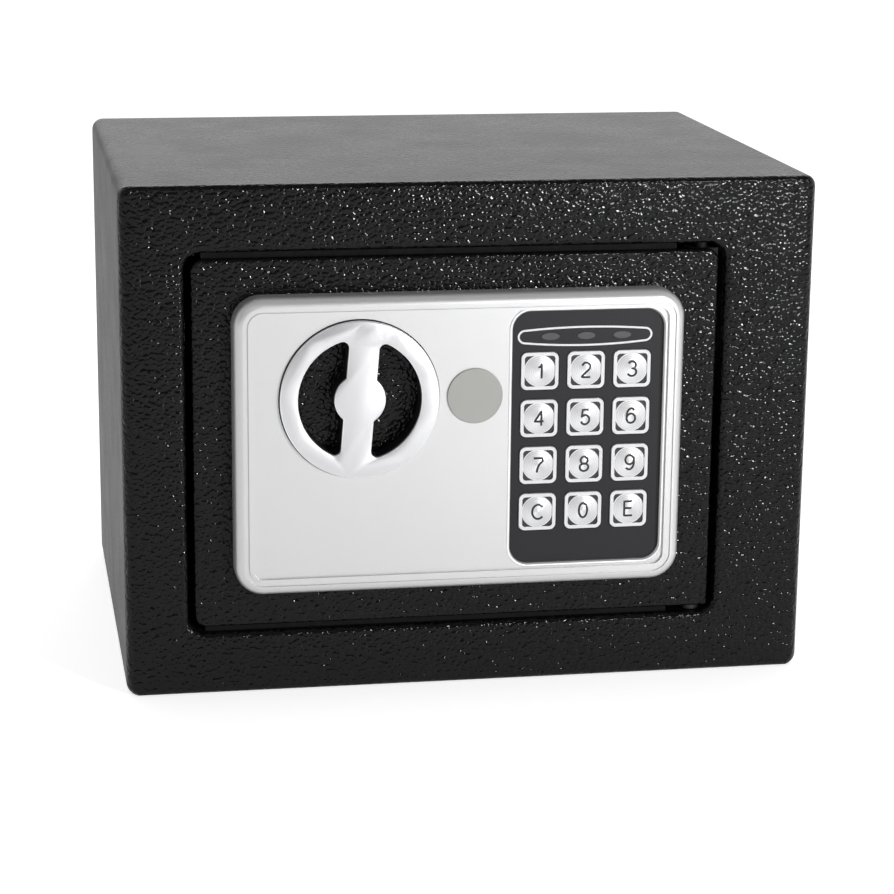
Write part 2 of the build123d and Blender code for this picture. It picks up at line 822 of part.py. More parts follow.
def make_bolt_carriage():
    """Folded plate that slides on two posts, with a flange for the bolts, an arm and the locking tab."""
    bottom = door_z - carriage_height / 2
    top = door_z + carriage_height / 2
    right = flange_left + carriage_width
    face = rounded((flange_left + right) / 2, door_z, carriage_width, carriage_height, carriage_corner)
    plate = pad(face, carriage_front, carriage_back)
    flange = block(flange_left, flange_left + carriage_sheet, carriage_front, carriage_front + flange_depth,
                   bottom, top)
    plate += flange
    corner = plate.edges().filter_by(Axis.Z).filter_by(
        lambda e: abs(e.center().X - flange_left) < 0.01 and abs(e.center().Y - carriage_front) < 0.01)
    plate = fillet(corner, carriage_bend)
    tab_right = tab_left + tab_width
    plate += block(right - carriage_sheet, tab_right, carriage_front, carriage_back,
                   tab_bottom, tab_bottom + tab_height)
    tab = Polygon((tab_left, tab_bottom + tab_height / 2), (tab_left + tab_ramp, tab_bottom),
                  (tab_right, tab_bottom), (tab_right, tab_bottom + tab_height),
                  (tab_left, tab_bottom + tab_height), align=None)
    plate += pad(tab, carriage_front, solenoid_y + nose_size / 2 + tab_past_nose)
    slot_width = 2 * (post_radius + post_play)
    for side in (-1, 1):
        guide = Pos(post_x + stroke / 2, door_z + side * post_half_spacing) * SlotCenterToCenter(
            stroke, slot_width)
        plate -= pad(guide, carriage_front - 1, carriage_back + 1)
        plate -= rod_x(flange_left - 1, flange_left + carriage_sheet + 1, bolt_y,
                       door_z + side * bolt_half_spacing, bolt_stud_radius + fixed_gap)
    slot_low = knob_z + crank_rise
    slot_high = knob_z + crank_radius
    crank_slot = Pos(knob_x + crank_offset, (slot_low + slot_high) / 2) * Rot(0, 0, 90) * SlotCenterToCenter(
        slot_high - slot_low + crank_slot_gap, 2 * (crank_pin_radius + crank_slot_gap))
    plate -= pad(crank_slot, carriage_front - 1, carriage_back + 1)
    window_height = 2 * (post_half_spacing - slot_width - carriage_corner)
    window = rounded(post_x + stroke / 2, door_z, stroke + slot_width, window_height, carriage_corner)
    return plate - pad(window, carriage_front - 1, carriage_back + 1)


def make_bolt(side):
    """Round bolt riveted through the carriage's flange; side is 1 for the upper one."""
    z = door_z + side * bolt_half_spacing
    bolt = rod_x(bolt_tip, flange_left, bolt_y, z, bolt_radius)
    bolt = chamfer(bolt.edges().group_by(Axis.X)[0], bolt_tip_chamfer)
    stud_end = flange_left + carriage_sheet
    bolt += rod_x(flange_left, stud_end, bolt_y, z, bolt_stud_radius)
    return bolt + rod_x(stud_end, stud_end + bolt_head_height, bolt_y, z, bolt_head_radius)


def make_carriage_posts():
    """Two shouldered posts on the door, which the carriage slides on."""
    posts = []
    for side in (-1, 1):
        z = door_z + side * post_half_spacing
        post = rod_y(post_x, z, door_back, carriage_front - post_play, post_shoulder_radius)
        posts.append(post + rod_y(post_x, z, carriage_front - post_play, carriage_back + post_play,
                                  post_radius))
    return posts


def make_post_caps():
    """Two round caps riveted on the posts, which keep the carriage on."""
    seat = carriage_back + post_play
    return [rod_y(post_x, door_z + side * post_half_spacing, seat, seat + post_head_height,
                  post_shoulder_radius) for side in (-1, 1)]


def make_key_cap():
    """Round cap over the emergency lock, held by its skirt."""
    cap = rod_y(lock_x, lock_z, field_front - cap_thickness, field_front, cap_radius)
    cap = fillet(edges_at_y(cap, field_front - cap_thickness), cap_edge_round)
    skirt = rod_y(lock_x, lock_z, field_front, field_front + cap_skirt_depth, cap_skirt_radius)
    skirt -= rod_y(lock_x, lock_z, field_front, field_front + cap_skirt_depth,
                   cap_skirt_radius - cap_skirt_wall)
    return cap + skirt


def make_lock_cylinder():
    """Fixed body of the emergency lock, flanged against the front of the door plate."""
    barrel_front = field_front + cap_skirt_depth + lock_under_cap
    flange_front_y = door_front - lock_flange_thickness
    body = rod_y(lock_x, lock_z, barrel_front, flange_front_y, lock_barrel_radius)
    body += rod_y(lock_x, lock_z, flange_front_y, door_front, lock_flange_radius)
    body += rod_y(lock_x, lock_z, door_front, lock_back, lock_body_radius)
    return body - rod_y(lock_x, lock_z, barrel_front - 1, lock_back + 1, plug_radius + running_gap)


def make_lock_nut():
    """Hexagonal nut that clamps the lock to the door plate."""
    nut = pad(Pos(lock_x, lock_z) * RegularPolygon(lock_nut_radius, 6), door_back,
              door_back + lock_nut_thickness)
    return nut - rod_y(lock_x, lock_z, door_back - 1, door_back + lock_nut_thickness + 1,
                       lock_body_radius + fixed_gap)


def make_lock_plug():
    """Turning plug with its keyway."""
    plug_front = field_front + cap_skirt_depth + lock_under_cap
    plug = rod_y(lock_x, lock_z, plug_front, cam_front, plug_radius)
    return plug - block(lock_x - keyway_width / 2, lock_x + keyway_width / 2, plug_front - 1,
                        plug_front + keyway_depth, lock_z - keyway_height / 2, lock_z + keyway_height / 2)


def make_lock_cam():
    """Flat cam on the plug; at rest it points away from the solenoid, to the left."""
    reach = cam_length - cam_width / 2
    face = Pos(lock_x - reach / 2, lock_z) * SlotCenterToCenter(reach, cam_width)
    face += Pos(lock_x, lock_z) * Circle(plug_radius)
    face -= Pos(lock_x, lock_z) * Circle(cam_screw_radius + fixed_gap)
    return pad(face, cam_front, cam_front + cam_thickness)


def make_cam_screw():
    """Screw that holds the cam on the plug."""
    seat = cam_front + cam_thickness
    screw = rod_y(lock_x, lock_z, cam_front, seat, cam_screw_radius)
    head = rod_y(lock_x, lock_z, seat, seat + cam_thickness, cam_screw_head_radius)
    slot = block(lock_x - cam_screw_head_radius, lock_x + cam_screw_head_radius,
                 seat + cam_thickness - screw_slot_depth, seat + cam_thickness + 1,
                 lock_z - screw_slot_width / 2, lock_z + screw_slot_width / 2)
    return screw + head - slot


def make_solenoid_frame():
    """Bent steel yoke round the coil: a back plate with a top and a bottom plate."""
    x0 = lock_x - solenoid_width / 2
    x1 = lock_x + solenoid_width / 2
    y0 = solenoid_y - solenoid_depth / 2
    y1 = solenoid_y + solenoid_depth / 2
    z0 = solenoid_top - solenoid_height
    frame = block(x0, x1, y0, y1, z0, solenoid_top)
    frame -= block(x0 - 1, x1 + 1, y0 + solenoid_sheet, y1 + 1, z0 + solenoid_sheet,
                   solenoid_top - solenoid_sheet)
    frame -= rod_z(lock_x, solenoid_y, solenoid_top - 2 * solenoid_sheet, solenoid_top + 1,
                   plunger_radius + plunger_gap)
    return frame


def make_solenoid_coil():
    """Wound bobbin between the yoke's plates."""
    z0 = solenoid_top - solenoid_height + solenoid_sheet
    z1 = solenoid_top - solenoid_sheet
    wound = rod_z(lock_x, solenoid_y, z0 + coil_flange, z1 - coil_flange, coil_radius - coil_flange_step)
    coil = wound + rod_z(lock_x, solenoid_y, z0, z0 + coil_flange, coil_radius)
    coil += rod_z(lock_x, solenoid_y, z1 - coil_flange, z1, coil_radius)
    bore_bottom = nose_top - nose_height - plunger_length - plunger_gap
    return coil - rod_z(lock_x, solenoid_y, bore_bottom, z1 + 1, plunger_radius + plunger_gap)


def make_solenoid_plunger():
    """Plunger with a square nose that stops the carriage and a lug that the lock's cam can push down."""
    nose_bottom = nose_top - nose_height
    rod = rod_z(lock_x, solenoid_y, nose_bottom - plunger_length, nose_bottom, plunger_radius)
    half = nose_size / 2
    nose = block(lock_x - half, lock_x + half, solenoid_y - half, solenoid_y + half, nose_bottom, nose_top)
    lug = block(lock_x - release_lug_width / 2, lock_x + release_lug_width / 2, solenoid_y,
                cam_front + cam_thickness + lug_reach, nose_bottom, nose_top)
    return rod + nose + lug


def make_plunger_spring():
    """Coil spring that pushes the plunger up; it is shown pressed together."""
    length = nose_top - nose_height - solenoid_top - 2 * spring_wire
    pitch = length / spring_turns
    path = Pos(lock_x, solenoid_y, solenoid_top + spring_wire) * Helix(pitch, length, spring_radius)
    section = Plane(origin=path @ 0, z_dir=path % 0) * Circle(spring_wire)
    print("plunger spring: least gap between turns", round(pitch - 2 * spring_wire, 2), "mm")
    return sweep(section, path=path)


def pillar_places():
    """The four pillars that carry the inner cover."""
    left = cover_left + pillar_inset_side
    right = cover_right - pillar_inset_side
    low = cover_bottom + pillar_inset_top
    high = cover_top - pillar_inset_top
    return [(left, low), (left, high), (battery_left - pillar_from_battery, low), (right, high)]


def snap_places():
    """The four snap posts of the main board."""
    x0 = main_board_left + snap_inset
    x1 = main_board_left + main_board_width - snap_inset
    z0 = main_board_bottom + snap_inset
    z1 = main_board_bottom + main_board_height - snap_inset
    return [(x, z) for x in (x0, x1) for z in (z0, z1)]


def make_door_studs():
    """Studs on the back of the door: four cover pillars, four board posts and two solenoid spacers."""
    studs = []
    for x, z in pillar_places():
        stud = rod_y(x, z, door_back, cover_inside, pillar_radius)
        studs.append(stud - rod_y(x, z, cover_inside - pillar_thread, cover_inside,
                                  panel_screw_radius + fixed_gap))
    for x, z in snap_places():
        post = rod_y(x, z, door_back, main_board_front, snap_post_radius)
        studs.append(post + rod_y(x, z, main_board_front, main_board_back + snap_tip_end, snap_tip_radius))
    spacer_end = solenoid_y - solenoid_depth / 2
    for share in spacer_shares:
        z = solenoid_top - solenoid_height * share
        studs.append(rod_y(lock_x, z, door_back, spacer_end, pillar_radius))
    return studs


def make_inner_cover():
    """Sheet cover over the bolt work, with holes for the bolts, the battery box and the reset button."""
    middle_x = (cover_left + cover_right) / 2
    middle_z = (cover_bottom + cover_top) / 2
    outline = rounded(middle_x, middle_z, cover_right - cover_left, cover_top - cover_bottom,
                      cover_edge_radius)
    cover = pad(outline, door_back, cover_back)
    cover = fillet(edges_at_y(cover, cover_back), cover_rear_radius)
    hollow = rounded(middle_x, middle_z, cover_right - cover_left - 2 * cover_sheet,
                     cover_top - cover_bottom - 2 * cover_sheet, cover_edge_radius - cover_sheet)
    cover -= pad(hollow, door_back, cover_inside)
    for side in (-1, 1):
        cover -= rod_x(cover_left - 1, cover_left + cover_sheet + 1, bolt_y, door_z + side * bolt_half_spacing,
                       bolt_radius + cover_bolt_gap)
    gap = battery_slot_gap
    cover -= block(battery_left - gap, battery_right + gap, cover_inside - 1, cover_back + 1,
                   battery_bottom - gap, battery_top + gap)
    cover -= rod_y(reset_x, reset_z, cover_inside - 1, cover_back + 1, reset_radius + reset_gap)
    for x, z in pillar_places():
        cover -= rod_y(x, z, cover_inside - 1, cover_back + 1, panel_screw_radius + screw_hole_gap)
    return cover


def make_cover_screws():
    """Four screws through the cover into its pillars."""
    tip = cover_inside - pillar_thread + cover_screw_tip_gap
    return [slotted_screw(x, z, cover_back, tip) for x, z in pillar_places()]


def make_battery_box():
    """Tub for four cells, flanged inside the cover, with two hooked rails for its lid."""
    tub = block(battery_left, battery_right, battery_floor - battery_wall, battery_rim,
                battery_bottom, battery_top)
    tub -= block(battery_left + battery_wall, battery_right - battery_wall, battery_floor, battery_rim,
                 battery_bottom + battery_wall, battery_top - battery_wall)
    edge = battery_flange + battery_slot_gap
    flange = block(battery_left - edge, battery_right + edge, cover_inside - battery_flange_thickness,
                   cover_inside, battery_bottom - edge, battery_top + edge)
    tub += flange - block(battery_left + battery_wall, battery_right - battery_wall,
                          cover_inside - battery_flange_thickness, cover_inside,
                          battery_bottom + battery_wall, battery_top - battery_wall)
    hook_front = lid_back + lid_gap
    hook_back = hook_front + lid_hook
    tub += block(battery_left, battery_right, battery_rim, hook_back, battery_bottom,
                 battery_bottom + battery_wall)
    tub += block(battery_left, battery_right, battery_rim, hook_back, battery_top - battery_wall, battery_top)
    tub += block(battery_left, battery_right, hook_front, hook_back, battery_bottom,
                 battery_bottom + battery_wall + lid_hook_reach)
    tub += block(battery_left, battery_right, hook_front, hook_back,
                 battery_top - battery_wall - lid_hook_reach, battery_top)
    tub += block(battery_right - battery_wall, battery_right, battery_rim, hook_back,
                 battery_bottom, battery_top)
    return tub


def cell_heights():
    """Centre heights of the cells, one above the other."""
    first = battery_bottom + battery_wall + cell_spacing / 2
    return [first + i * cell_spacing for i in range(cell_count)]


def make_battery_cells():
    """Round cells laid across, turned end for end in turn."""
    cells = []
    x0 = battery_left + battery_wall + battery_end_room
    for i, z in enumerate(cell_heights()):
        start = x0 + (cell_nub_length if i % 2 else 0)
        cell = rod_x(start, start + cell_length, cell_y, z, cell_radius)
        nub = x0 if i % 2 else x0 + cell_length
        cells.append(cell + rod_x(nub, nub + cell_nub_length, cell_y, z, cell_nub_radius))
    return cells


def make_battery_contacts():
    """Bowed metal strips at both ends of each cell."""
    strips = []
    half = contact_width / 2
    for z in cell_heights():
        for side, wall in ((1, battery_left + battery_wall), (-1, battery_right - battery_wall)):
            tip = wall + side * contact_bow
            t = side * contact_thickness
            bow = Polygon((wall, z - half), (wall + t, z - half), (tip + t, z), (wall + t, z + half),
                          (wall, z + half), (tip, z), align=None)
            strips.append(pad(bow, cell_y - half, cell_y + half))
    return strips


def make_battery_lid():
    """Lid that slides out to the left under the rails, with raised lines for a finger."""
    x0 = battery_left
    x1 = battery_right - battery_wall - lid_gap
    z0 = battery_bottom + battery_wall + lid_gap
    z1 = battery_top - battery_wall - lid_gap
    lid = block(x0, x1, lid_front, lid_back, z0, z1)
    middle = (z0 + z1) / 2
    for i in range(lid_ridge_count):
        x = x0 + lid_ridge_start + i * lid_ridge_pitch
        lid += block(x, x + lid_ridge_width, lid_back, lid_back + lid_ridge_height,
                     middle - lid_ridge_length / 2, middle + lid_ridge_length / 2)
    return lid


def make_main_board():
    """Control board with its chip, capacitor and battery connector."""
    x1 = main_board_left + main_board_width
    z1 = main_board_bottom + main_board_height
    board = block(main_board_left, x1, main_board_front, main_board_back, main_board_bottom, z1)
    for x, z in snap_places():
        board -= rod_y(x, z, main_board_front - 1, main_board_back + 1, snap_tip_radius + running_gap)
    middle_z = (main_board_bottom + z1) / 2
    chip_x = main_board_left + main_board_width * chip_share
    chip = block(chip_x - chip_width / 2, chip_x + chip_width / 2, main_board_back,
                 main_board_back + chip_thickness, middle_z - chip_height / 2, middle_z + chip_height / 2)
    capacitor_x = main_board_left + main_board_width * capacitor_share
    capacitor = rod_y(capacitor_x, middle_z, main_board_back, main_board_back + capacitor_height,
                      capacitor_radius)
    plug_x = main_board_left + main_board_width * connector_share
    plug = block(plug_x - connector_width / 2, plug_x + connector_width / 2, main_board_back,
                 main_board_back + connector_depth, middle_z - connector_height / 2,
                 middle_z + connector_height / 2)
    return [board, chip, capacitor, plug]


def make_link_header():
    """Stiff header that joins the keypad board to the main board through the door plate."""
    return block(header_x - header_width / 2, header_x + header_width / 2, board_back, main_board_front,
                 header_z - header_height / 2, header_z + header_height / 2)


def make_reset_switch():
    """Small switch housing behind the reset button, fixed inside the cover."""
    half = reset_housing / 2
    body = block(reset_x - half, reset_x + half, cover_inside - reset_housing_depth, cover_inside,
                 reset_z - half, reset_z + half)
    return body - rod_y(reset_x, reset_z, cover_inside - reset_housing_depth + reset_floor, cover_inside + 1,
                        reset_radius + reset_gap)


def make_reset_button():
    """Round button that sets a new code."""
    start = cover_inside - reset_housing_depth + reset_floor + reset_travel + reset_gap
    button = rod_y(reset_x, reset_z, start, cover_back + reset_proud, reset_radius)
    return fillet(edges_at_y(button, cover_back + reset_proud), reset_round)


def all_nodes():
    """Every piece of the safe by its name."""
    nodes = {
        "body_shell": make_body_shell(),
        "back_panel": make_back_panel(),
        "floor_mat": make_floor_mat(),
        "hinge_plates": make_hinge_plates(),
        "door_stops": make_door_stops(),
        "hinge_washer": make_hinge_washer(),
        "door_plate": make_door_plate(),
        "hinge_lugs": make_hinge_lugs(),
        "hinge_pins": make_hinge_pins(),
        "front_panel": make_front_panel(),
        "panel_screws": make_panel_screws(),
        "keypad_overlay": make_keypad_overlay(),
        "led_lenses": make_led_lenses(),
        "keypad_board": make_keypad_board(),
        "keypad_parts": make_keypad_parts(),
        "link_header": make_link_header(),
        "knob_face": make_knob_face(),
        "knob_body": make_knob_body(),
        "knob_spindle": make_knob_spindle(),
        "knob_clip": make_knob_clip(),
        "knob_crank": make_knob_crank(),
        "bolt_carriage": make_bolt_carriage(),
        "bolt_upper": make_bolt(1),
        "bolt_lower": make_bolt(-1),
        "carriage_posts": make_carriage_posts(),
        "post_caps": make_post_caps(),
        "key_cap": make_key_cap(),
        "lock_cylinder": make_lock_cylinder(),
        "lock_nut": make_lock_nut(),
        "lock_plug": make_lock_plug(),
        "lock_cam": make_lock_cam(),
        "cam_screw": make_cam_screw(),
        "solenoid_frame": make_solenoid_frame(),
        "solenoid_coil": make_solenoid_coil(),
        "solenoid_plunger": make_solenoid_plunger(),
        "plunger_spring": make_plunger_spring(),
        "door_studs": make_door_studs(),
        "inner_cover": make_inner_cover(),
        "cover_screws": make_cover_screws(),
        "battery_box": make_battery_box(),
        "battery_cells": make_battery_cells(),
        "battery_contacts": make_battery_contacts(),
        "battery_lid": make_battery_lid(),
        "main_board": make_main_board(),
        "reset_switch": make_reset_switch(),
        "reset_button": make_reset_button(),
    }
    for label, (x, z) in key_places().items():
        nodes["key_" + label] = make_key(x, z)
    return nodes


def main():
    os.makedirs("parts", exist_ok=True)
    for name, piece in all_nodes().items():
        solids = [s for p in (piece if isinstance(piece, list) else [piece]) for s in p.solids()]
        shape = solids[0] if len(solids) == 1 else Compound(children=solids)
        export_step(shape, os.path.join("parts", name + ".step"))


main()
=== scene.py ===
import math

import bpy
from bpy.props import FloatProperty, FloatVectorProperty, PointerProperty
from mathutils import Matrix, Vector


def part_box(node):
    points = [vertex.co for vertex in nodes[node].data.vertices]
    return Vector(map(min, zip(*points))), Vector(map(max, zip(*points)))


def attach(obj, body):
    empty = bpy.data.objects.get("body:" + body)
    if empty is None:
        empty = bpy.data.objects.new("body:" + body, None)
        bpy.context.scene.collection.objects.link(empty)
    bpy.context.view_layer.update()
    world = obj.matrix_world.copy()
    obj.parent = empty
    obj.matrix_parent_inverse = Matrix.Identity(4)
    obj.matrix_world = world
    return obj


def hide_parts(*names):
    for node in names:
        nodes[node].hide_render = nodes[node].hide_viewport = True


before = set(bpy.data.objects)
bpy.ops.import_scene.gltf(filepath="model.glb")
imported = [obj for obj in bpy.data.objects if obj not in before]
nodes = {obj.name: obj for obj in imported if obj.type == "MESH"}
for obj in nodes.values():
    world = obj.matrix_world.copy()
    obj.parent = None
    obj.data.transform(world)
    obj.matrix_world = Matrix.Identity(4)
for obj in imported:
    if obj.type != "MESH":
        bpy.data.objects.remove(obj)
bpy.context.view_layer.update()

bl_info = {
    "name": "Electronic Home Safe",
    "version": (1, 0, 0),
    "blender": (4, 5, 0),
    "location": "3D View > Sidebar > Safe",
    "description": "Dresses the parts of a small electronic safe and lights it for a picture",
    "category": "Object",
}

MM = 0.001

# Radii of the CAD wrapper: along its long edges, and of its fold round the front
EDGE = 4.0 * MM
FOLD = 1.6 * MM

# How near to the fold's round a point of the wrapper lies, and how far past its ends
FOLD_FIT = 0.03 * MM
FOLD_SLACK = 0.01 * MM

# The panel's field lies behind its rim, and its keypad pocket has round corners
FIELD_DEPTH = 1.0 * MM
POCKET_CORNER = 6.2 * MM
BEAD_FLATNESS = 0.7

# A key's domed disc in the CAD, and how much wider than its height a mark is drawn
KEY_DISC = 5.1 * MM
KEY_DOME = 0.5 * MM
MARK_WIDENING = 1.1

# The lamp window stands this far left of the lamps' middle
WINDOW_SHIFT = 0.4 * MM

# Most of a noise texture lies between these values
NOISE_LOW, NOISE_HIGH = 0.3, 0.7

# Name, place, point that it faces, width and height, and power of each lamp
LAMPS = (
    ("lamp_front", (-0.55, -1.2, 0.9), (0, 0, 0.08), (0.8, 0.5), 1.0),
    ("lamp_sparkle", (0.40, -0.826, 0.245), (0.08, -0.085, 0.15), (0.08, 0.08), 4.4),
    ("lamp_top", (0.1, 0.7, 0.9), (0, 0.05, 0.17), (1.2, 0.6), 4.0),
)

# The surroundings' strength: an axis of the view direction, where it changes, and its values there
SURROUND = (
    ("Y", (-0.7, 0.15), (0.18, 1.0)),
    ("Z", (0.45, 0.85), (1.0, 0.5)),
)
FLOOR_GLOW = 0.70

# The keys' marks, row by row
KEY_MARKS = ("1", "2", "3", "4", "5", "6", "7", "8", "9", "C", "0", "E")


def box_centre(name):
    """Middle of a CAD node's box."""
    low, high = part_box(name)
    return (low + high) / 2


def front_of(name):
    """Y of a CAD node's frontmost point; the front faces -Y."""
    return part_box(name)[0].y


# Settings, which a user would change

def colour_setting(name, description, default):
    return FloatVectorProperty(
        name=name, description=description, default=default,
        subtype="COLOR", size=3, min=0.0, max=1.0,
    )


def length_setting(name, description, default):
    return FloatProperty(
        name=name, description=description, default=default,
        min=0.0, unit="LENGTH", subtype="DISTANCE", precision=5,
    )


def share_setting(name, description, default):
    return FloatProperty(
        name=name, description=description, default=default,
        min=0.0, max=1.0, subtype="FACTOR",
    )


class PaintSettings(bpy.types.PropertyGroup):
    """Hammered powder coat on the steel box and its door."""

    colour: colour_setting("Paint", "Colour of the powder coat", (0.004, 0.004, 0.0045))
    grain: length_setting("Grain", "Size of one pebble of the hammered coat", 1.4 * MM)
    grain_height: length_setting("Grain height", "Height of the hammered grain", 0.28 * MM)
    roughness: share_setting("Roughness", "How dull the coat is on the front", 0.1)
    side_roughness: share_setting("Side roughness", "How dull the coat is on the sides", 0.44)
    top_roughness: share_setting("Top roughness", "How dull the coat is on the top", 0.27)
    fold: length_setting("Side fold", "Radius of the front's left and right folds", 3.9 * MM)


class PanelSettings(bpy.types.PropertyGroup):
    """Front panel, knob and key cover."""

    silver: colour_setting("Silver", "Lacquer on the front panel", (0.64, 0.64, 0.645))
    knob: colour_setting("Knob", "Brushed face of the knob", (0.66, 0.66, 0.675))
    cap: colour_setting("Key cover", "Round cover over the emergency lock", (0.43, 0.43, 0.405))
    bead_width: length_setting("Bead width", "Width of the bead round the keypad", 0.9 * MM)
    bead_gap: length_setting("Bead gap", "Distance from the keypad film to the bead", 0.35 * MM)


class KeypadSettings(bpy.types.PropertyGroup):
    """Printing on the keypad."""

    film: colour_setting("Keypad film", "Charcoal film round the keys", (0.016, 0.0155, 0.018))
    print_colour: colour_setting("White print", "Key frames and lamp window", (0.86, 0.86, 0.87))
    mark_colour: colour_setting("Key marks", "Digits on the keys", (0.006, 0.006, 0.0065))
    mark_height: length_setting("Mark height", "Height of a digit", 5.6 * MM)
    mark_stroke: length_setting("Mark stroke", "Width of a digit's stroke", 0.72 * MM)
    mark_thickness: length_setting("Print thickness", "How far printing stands proud", 0.05 * MM)
    window_width: length_setting("Window width", "Width of the lamp window outline", 45.2 * MM)
    window_height: length_setting("Window height", "Height of the window's round ends", 4.3 * MM)
    window_rise: length_setting("Window rise", "How far it bows up in the middle", 1.1 * MM)
    window_drop: length_setting("Window drop", "How far it bows down in the middle", 1.3 * MM)
    window_line: length_setting("Window line", "Width of the lamp window's white line", 0.64 * MM)


class StageSettings(bpy.types.PropertyGroup):
    """Floor, lamps, backdrop and camera."""

    floor_colour: colour_setting("Floor", "Colour of the floor", (0.62, 0.62, 0.625))
    floor_size: length_setting("Floor size", "Side of the square floor", 14.0)
    lens: FloatProperty(
        name="Lens", description="Focal length of the camera", default=106.74, unit="CAMERA"
    )
    camera_place: FloatVectorProperty(
        name="Camera place", description="Where the camera stands",
        subtype="TRANSLATION", size=3, precision=5, unit="LENGTH",
        default=(-0.15779, -0.91898, 0.29778),
    )
    camera_turn: FloatVectorProperty(
        name="Camera turn", description="How the camera is turned",
        subtype="EULER", size=3, unit="ROTATION",
        default=(math.radians(75.7034), math.radians(-0.5761), math.radians(-9.9992)),
    )


SETTING_GROUPS = {
    "safe_paint": PaintSettings,
    "safe_panel": PanelSettings,
    "safe_keypad": KeypadSettings,
    "safe_stage": StageSettings,
}


# Materials

class Finish:
    """A node material on Object coordinates, with short calls for the nodes that it needs."""

    def __init__(self, name, colour=(0.5, 0.5, 0.5), metallic=0.0, roughness=0.5, **sockets):
        self.material = bpy.data.materials.new(name)
        self.material.use_nodes = True
        self.material.diffuse_color = (*colour, 1.0)
        self.tree = self.material.node_tree
        self.shader = self.tree.nodes["Principled BSDF"]
        self.set("Base Color", (*colour, 1.0))
        self.set("Metallic", metallic)
        self.set("Roughness", roughness)
        for socket, value in sockets.items():
            self.set(socket.replace("_", " "), value)
        self.place = self.add("ShaderNodeTexCoord").outputs["Object"]

    def set(self, socket, value):
        """Puts a number, a colour or another node's output on the shader's socket."""
        if isinstance(value, bpy.types.NodeSocket):
            self.tree.links.new(value, self.shader.inputs[socket])
        else:
            self.shader.inputs[socket].default_value = value

    def add(self, kind, inputs=None, **values):
        """A new node, with its inputs set or linked and its properties set."""
        node = self.tree.nodes.new(kind)
        for name, value in values.items():
            setattr(node, name, value)
        for name, value in (inputs or {}).items():
            if isinstance(value, bpy.types.NodeSocket):
                self.tree.links.new(value, node.inputs[name])
            else:
                node.inputs[name].default_value = value
        return node

    def math(self, operation, *values):
        return self.add("ShaderNodeMath", dict(enumerate(values)), operation=operation).outputs[0]

    def vector(self, operation, *values):
        node = self.add("ShaderNodeVectorMath", dict(enumerate(values)), operation=operation)
        return node.outputs[0]

    def axes(self):
        node = self.add("ShaderNodeSeparateXYZ", {"Vector": self.place})
        return node.outputs["X"], node.outputs["Y"], node.outputs["Z"]

    def moved(self, location=(0, 0, 0), rotation=(0, 0, 0), scale=(1, 1, 1)):
        """Object coordinates moved by location, then turned and scaled."""
        shifted = self.vector("SUBTRACT", self.place, location)
        return self.add(
            "ShaderNodeMapping", {"Vector": shifted, "Rotation": rotation, "Scale": scale}
        ).outputs[0]

    def noise(self, size, detail=2.0, roughness=0.5, vector=None):
        """Noise whose lumps are about size metres across."""
        return self.add(
            "ShaderNodeTexNoise",
            {
                "Vector": vector or self.place, "Scale": 1.0 / size,
                "Detail": detail, "Roughness": roughness,
            },
        ).outputs["Fac"]

    def cells(self, size, smoothness, vector):
        """Distance to the middle of the nearest cell; the cells are about size metres across."""
        return self.add(
            "ShaderNodeTexVoronoi",
            {"Vector": vector, "Scale": 1.0 / size, "Smoothness": smoothness},
            feature="SMOOTH_F1",
        ).outputs["Distance"]

    def span(self, value, low, high, out_low=0.0, out_high=1.0, smooth=False):
        """value from low to high, carried over to out_low to out_high."""
        return self.add(
            "ShaderNodeMapRange",
            {
                "Value": value, "From Min": low, "From Max": high,
                "To Min": out_low, "To Max": out_high,
            },
            interpolation_type="SMOOTHSTEP" if smooth else "LINEAR",
        ).outputs["Result"]

    def blend(self, share, first, second):
        """The first colour where share is 0 and the second where it is 1."""
        node = self.add("ShaderNodeMix", data_type="RGBA")
        sockets = (node.inputs[index] for index in (0, 6, 7))
        for socket, value in zip(sockets, (share, first, second)):
            if isinstance(value, bpy.types.NodeSocket):
                self.tree.links.new(value, socket)
            else:
                socket.default_value = (*value, 1.0) if isinstance(value, (tuple, list)) else value
        return node.outputs[2]

    def roughen(self, noise, low, high):
        """Roughness from low to high, as the noise rises."""
        self.set("Roughness", self.span(noise, NOISE_LOW, NOISE_HIGH, low, high))

    def length(self, first, second):
        """Length of the hypotenuse over two sides."""
        squares = [self.math("MULTIPLY", side, side) for side in (first, second)]
        return self.math("SQRT", self.math("ADD", *squares))

    def between(self, value, low, high):
        """1 where value lies between low and high."""
        above, below = self.math("GREATER_THAN", value, low), self.math("LESS_THAN", value, high)
        return self.math("MULTIPLY", above, below)

    def bump(self, height, distance, strength=1.0):
        """Normal of a surface raised by height, up to distance in metres."""
        inputs = {"Height": height, "Distance": distance, "Strength": strength}
        return self.add("ShaderNodeBump", inputs).outputs["Normal"]


def tinted(colour, factor):
    """The colour made darker or lighter by a factor."""
    return tuple(min(1.0, channel * factor) for channel in colour)


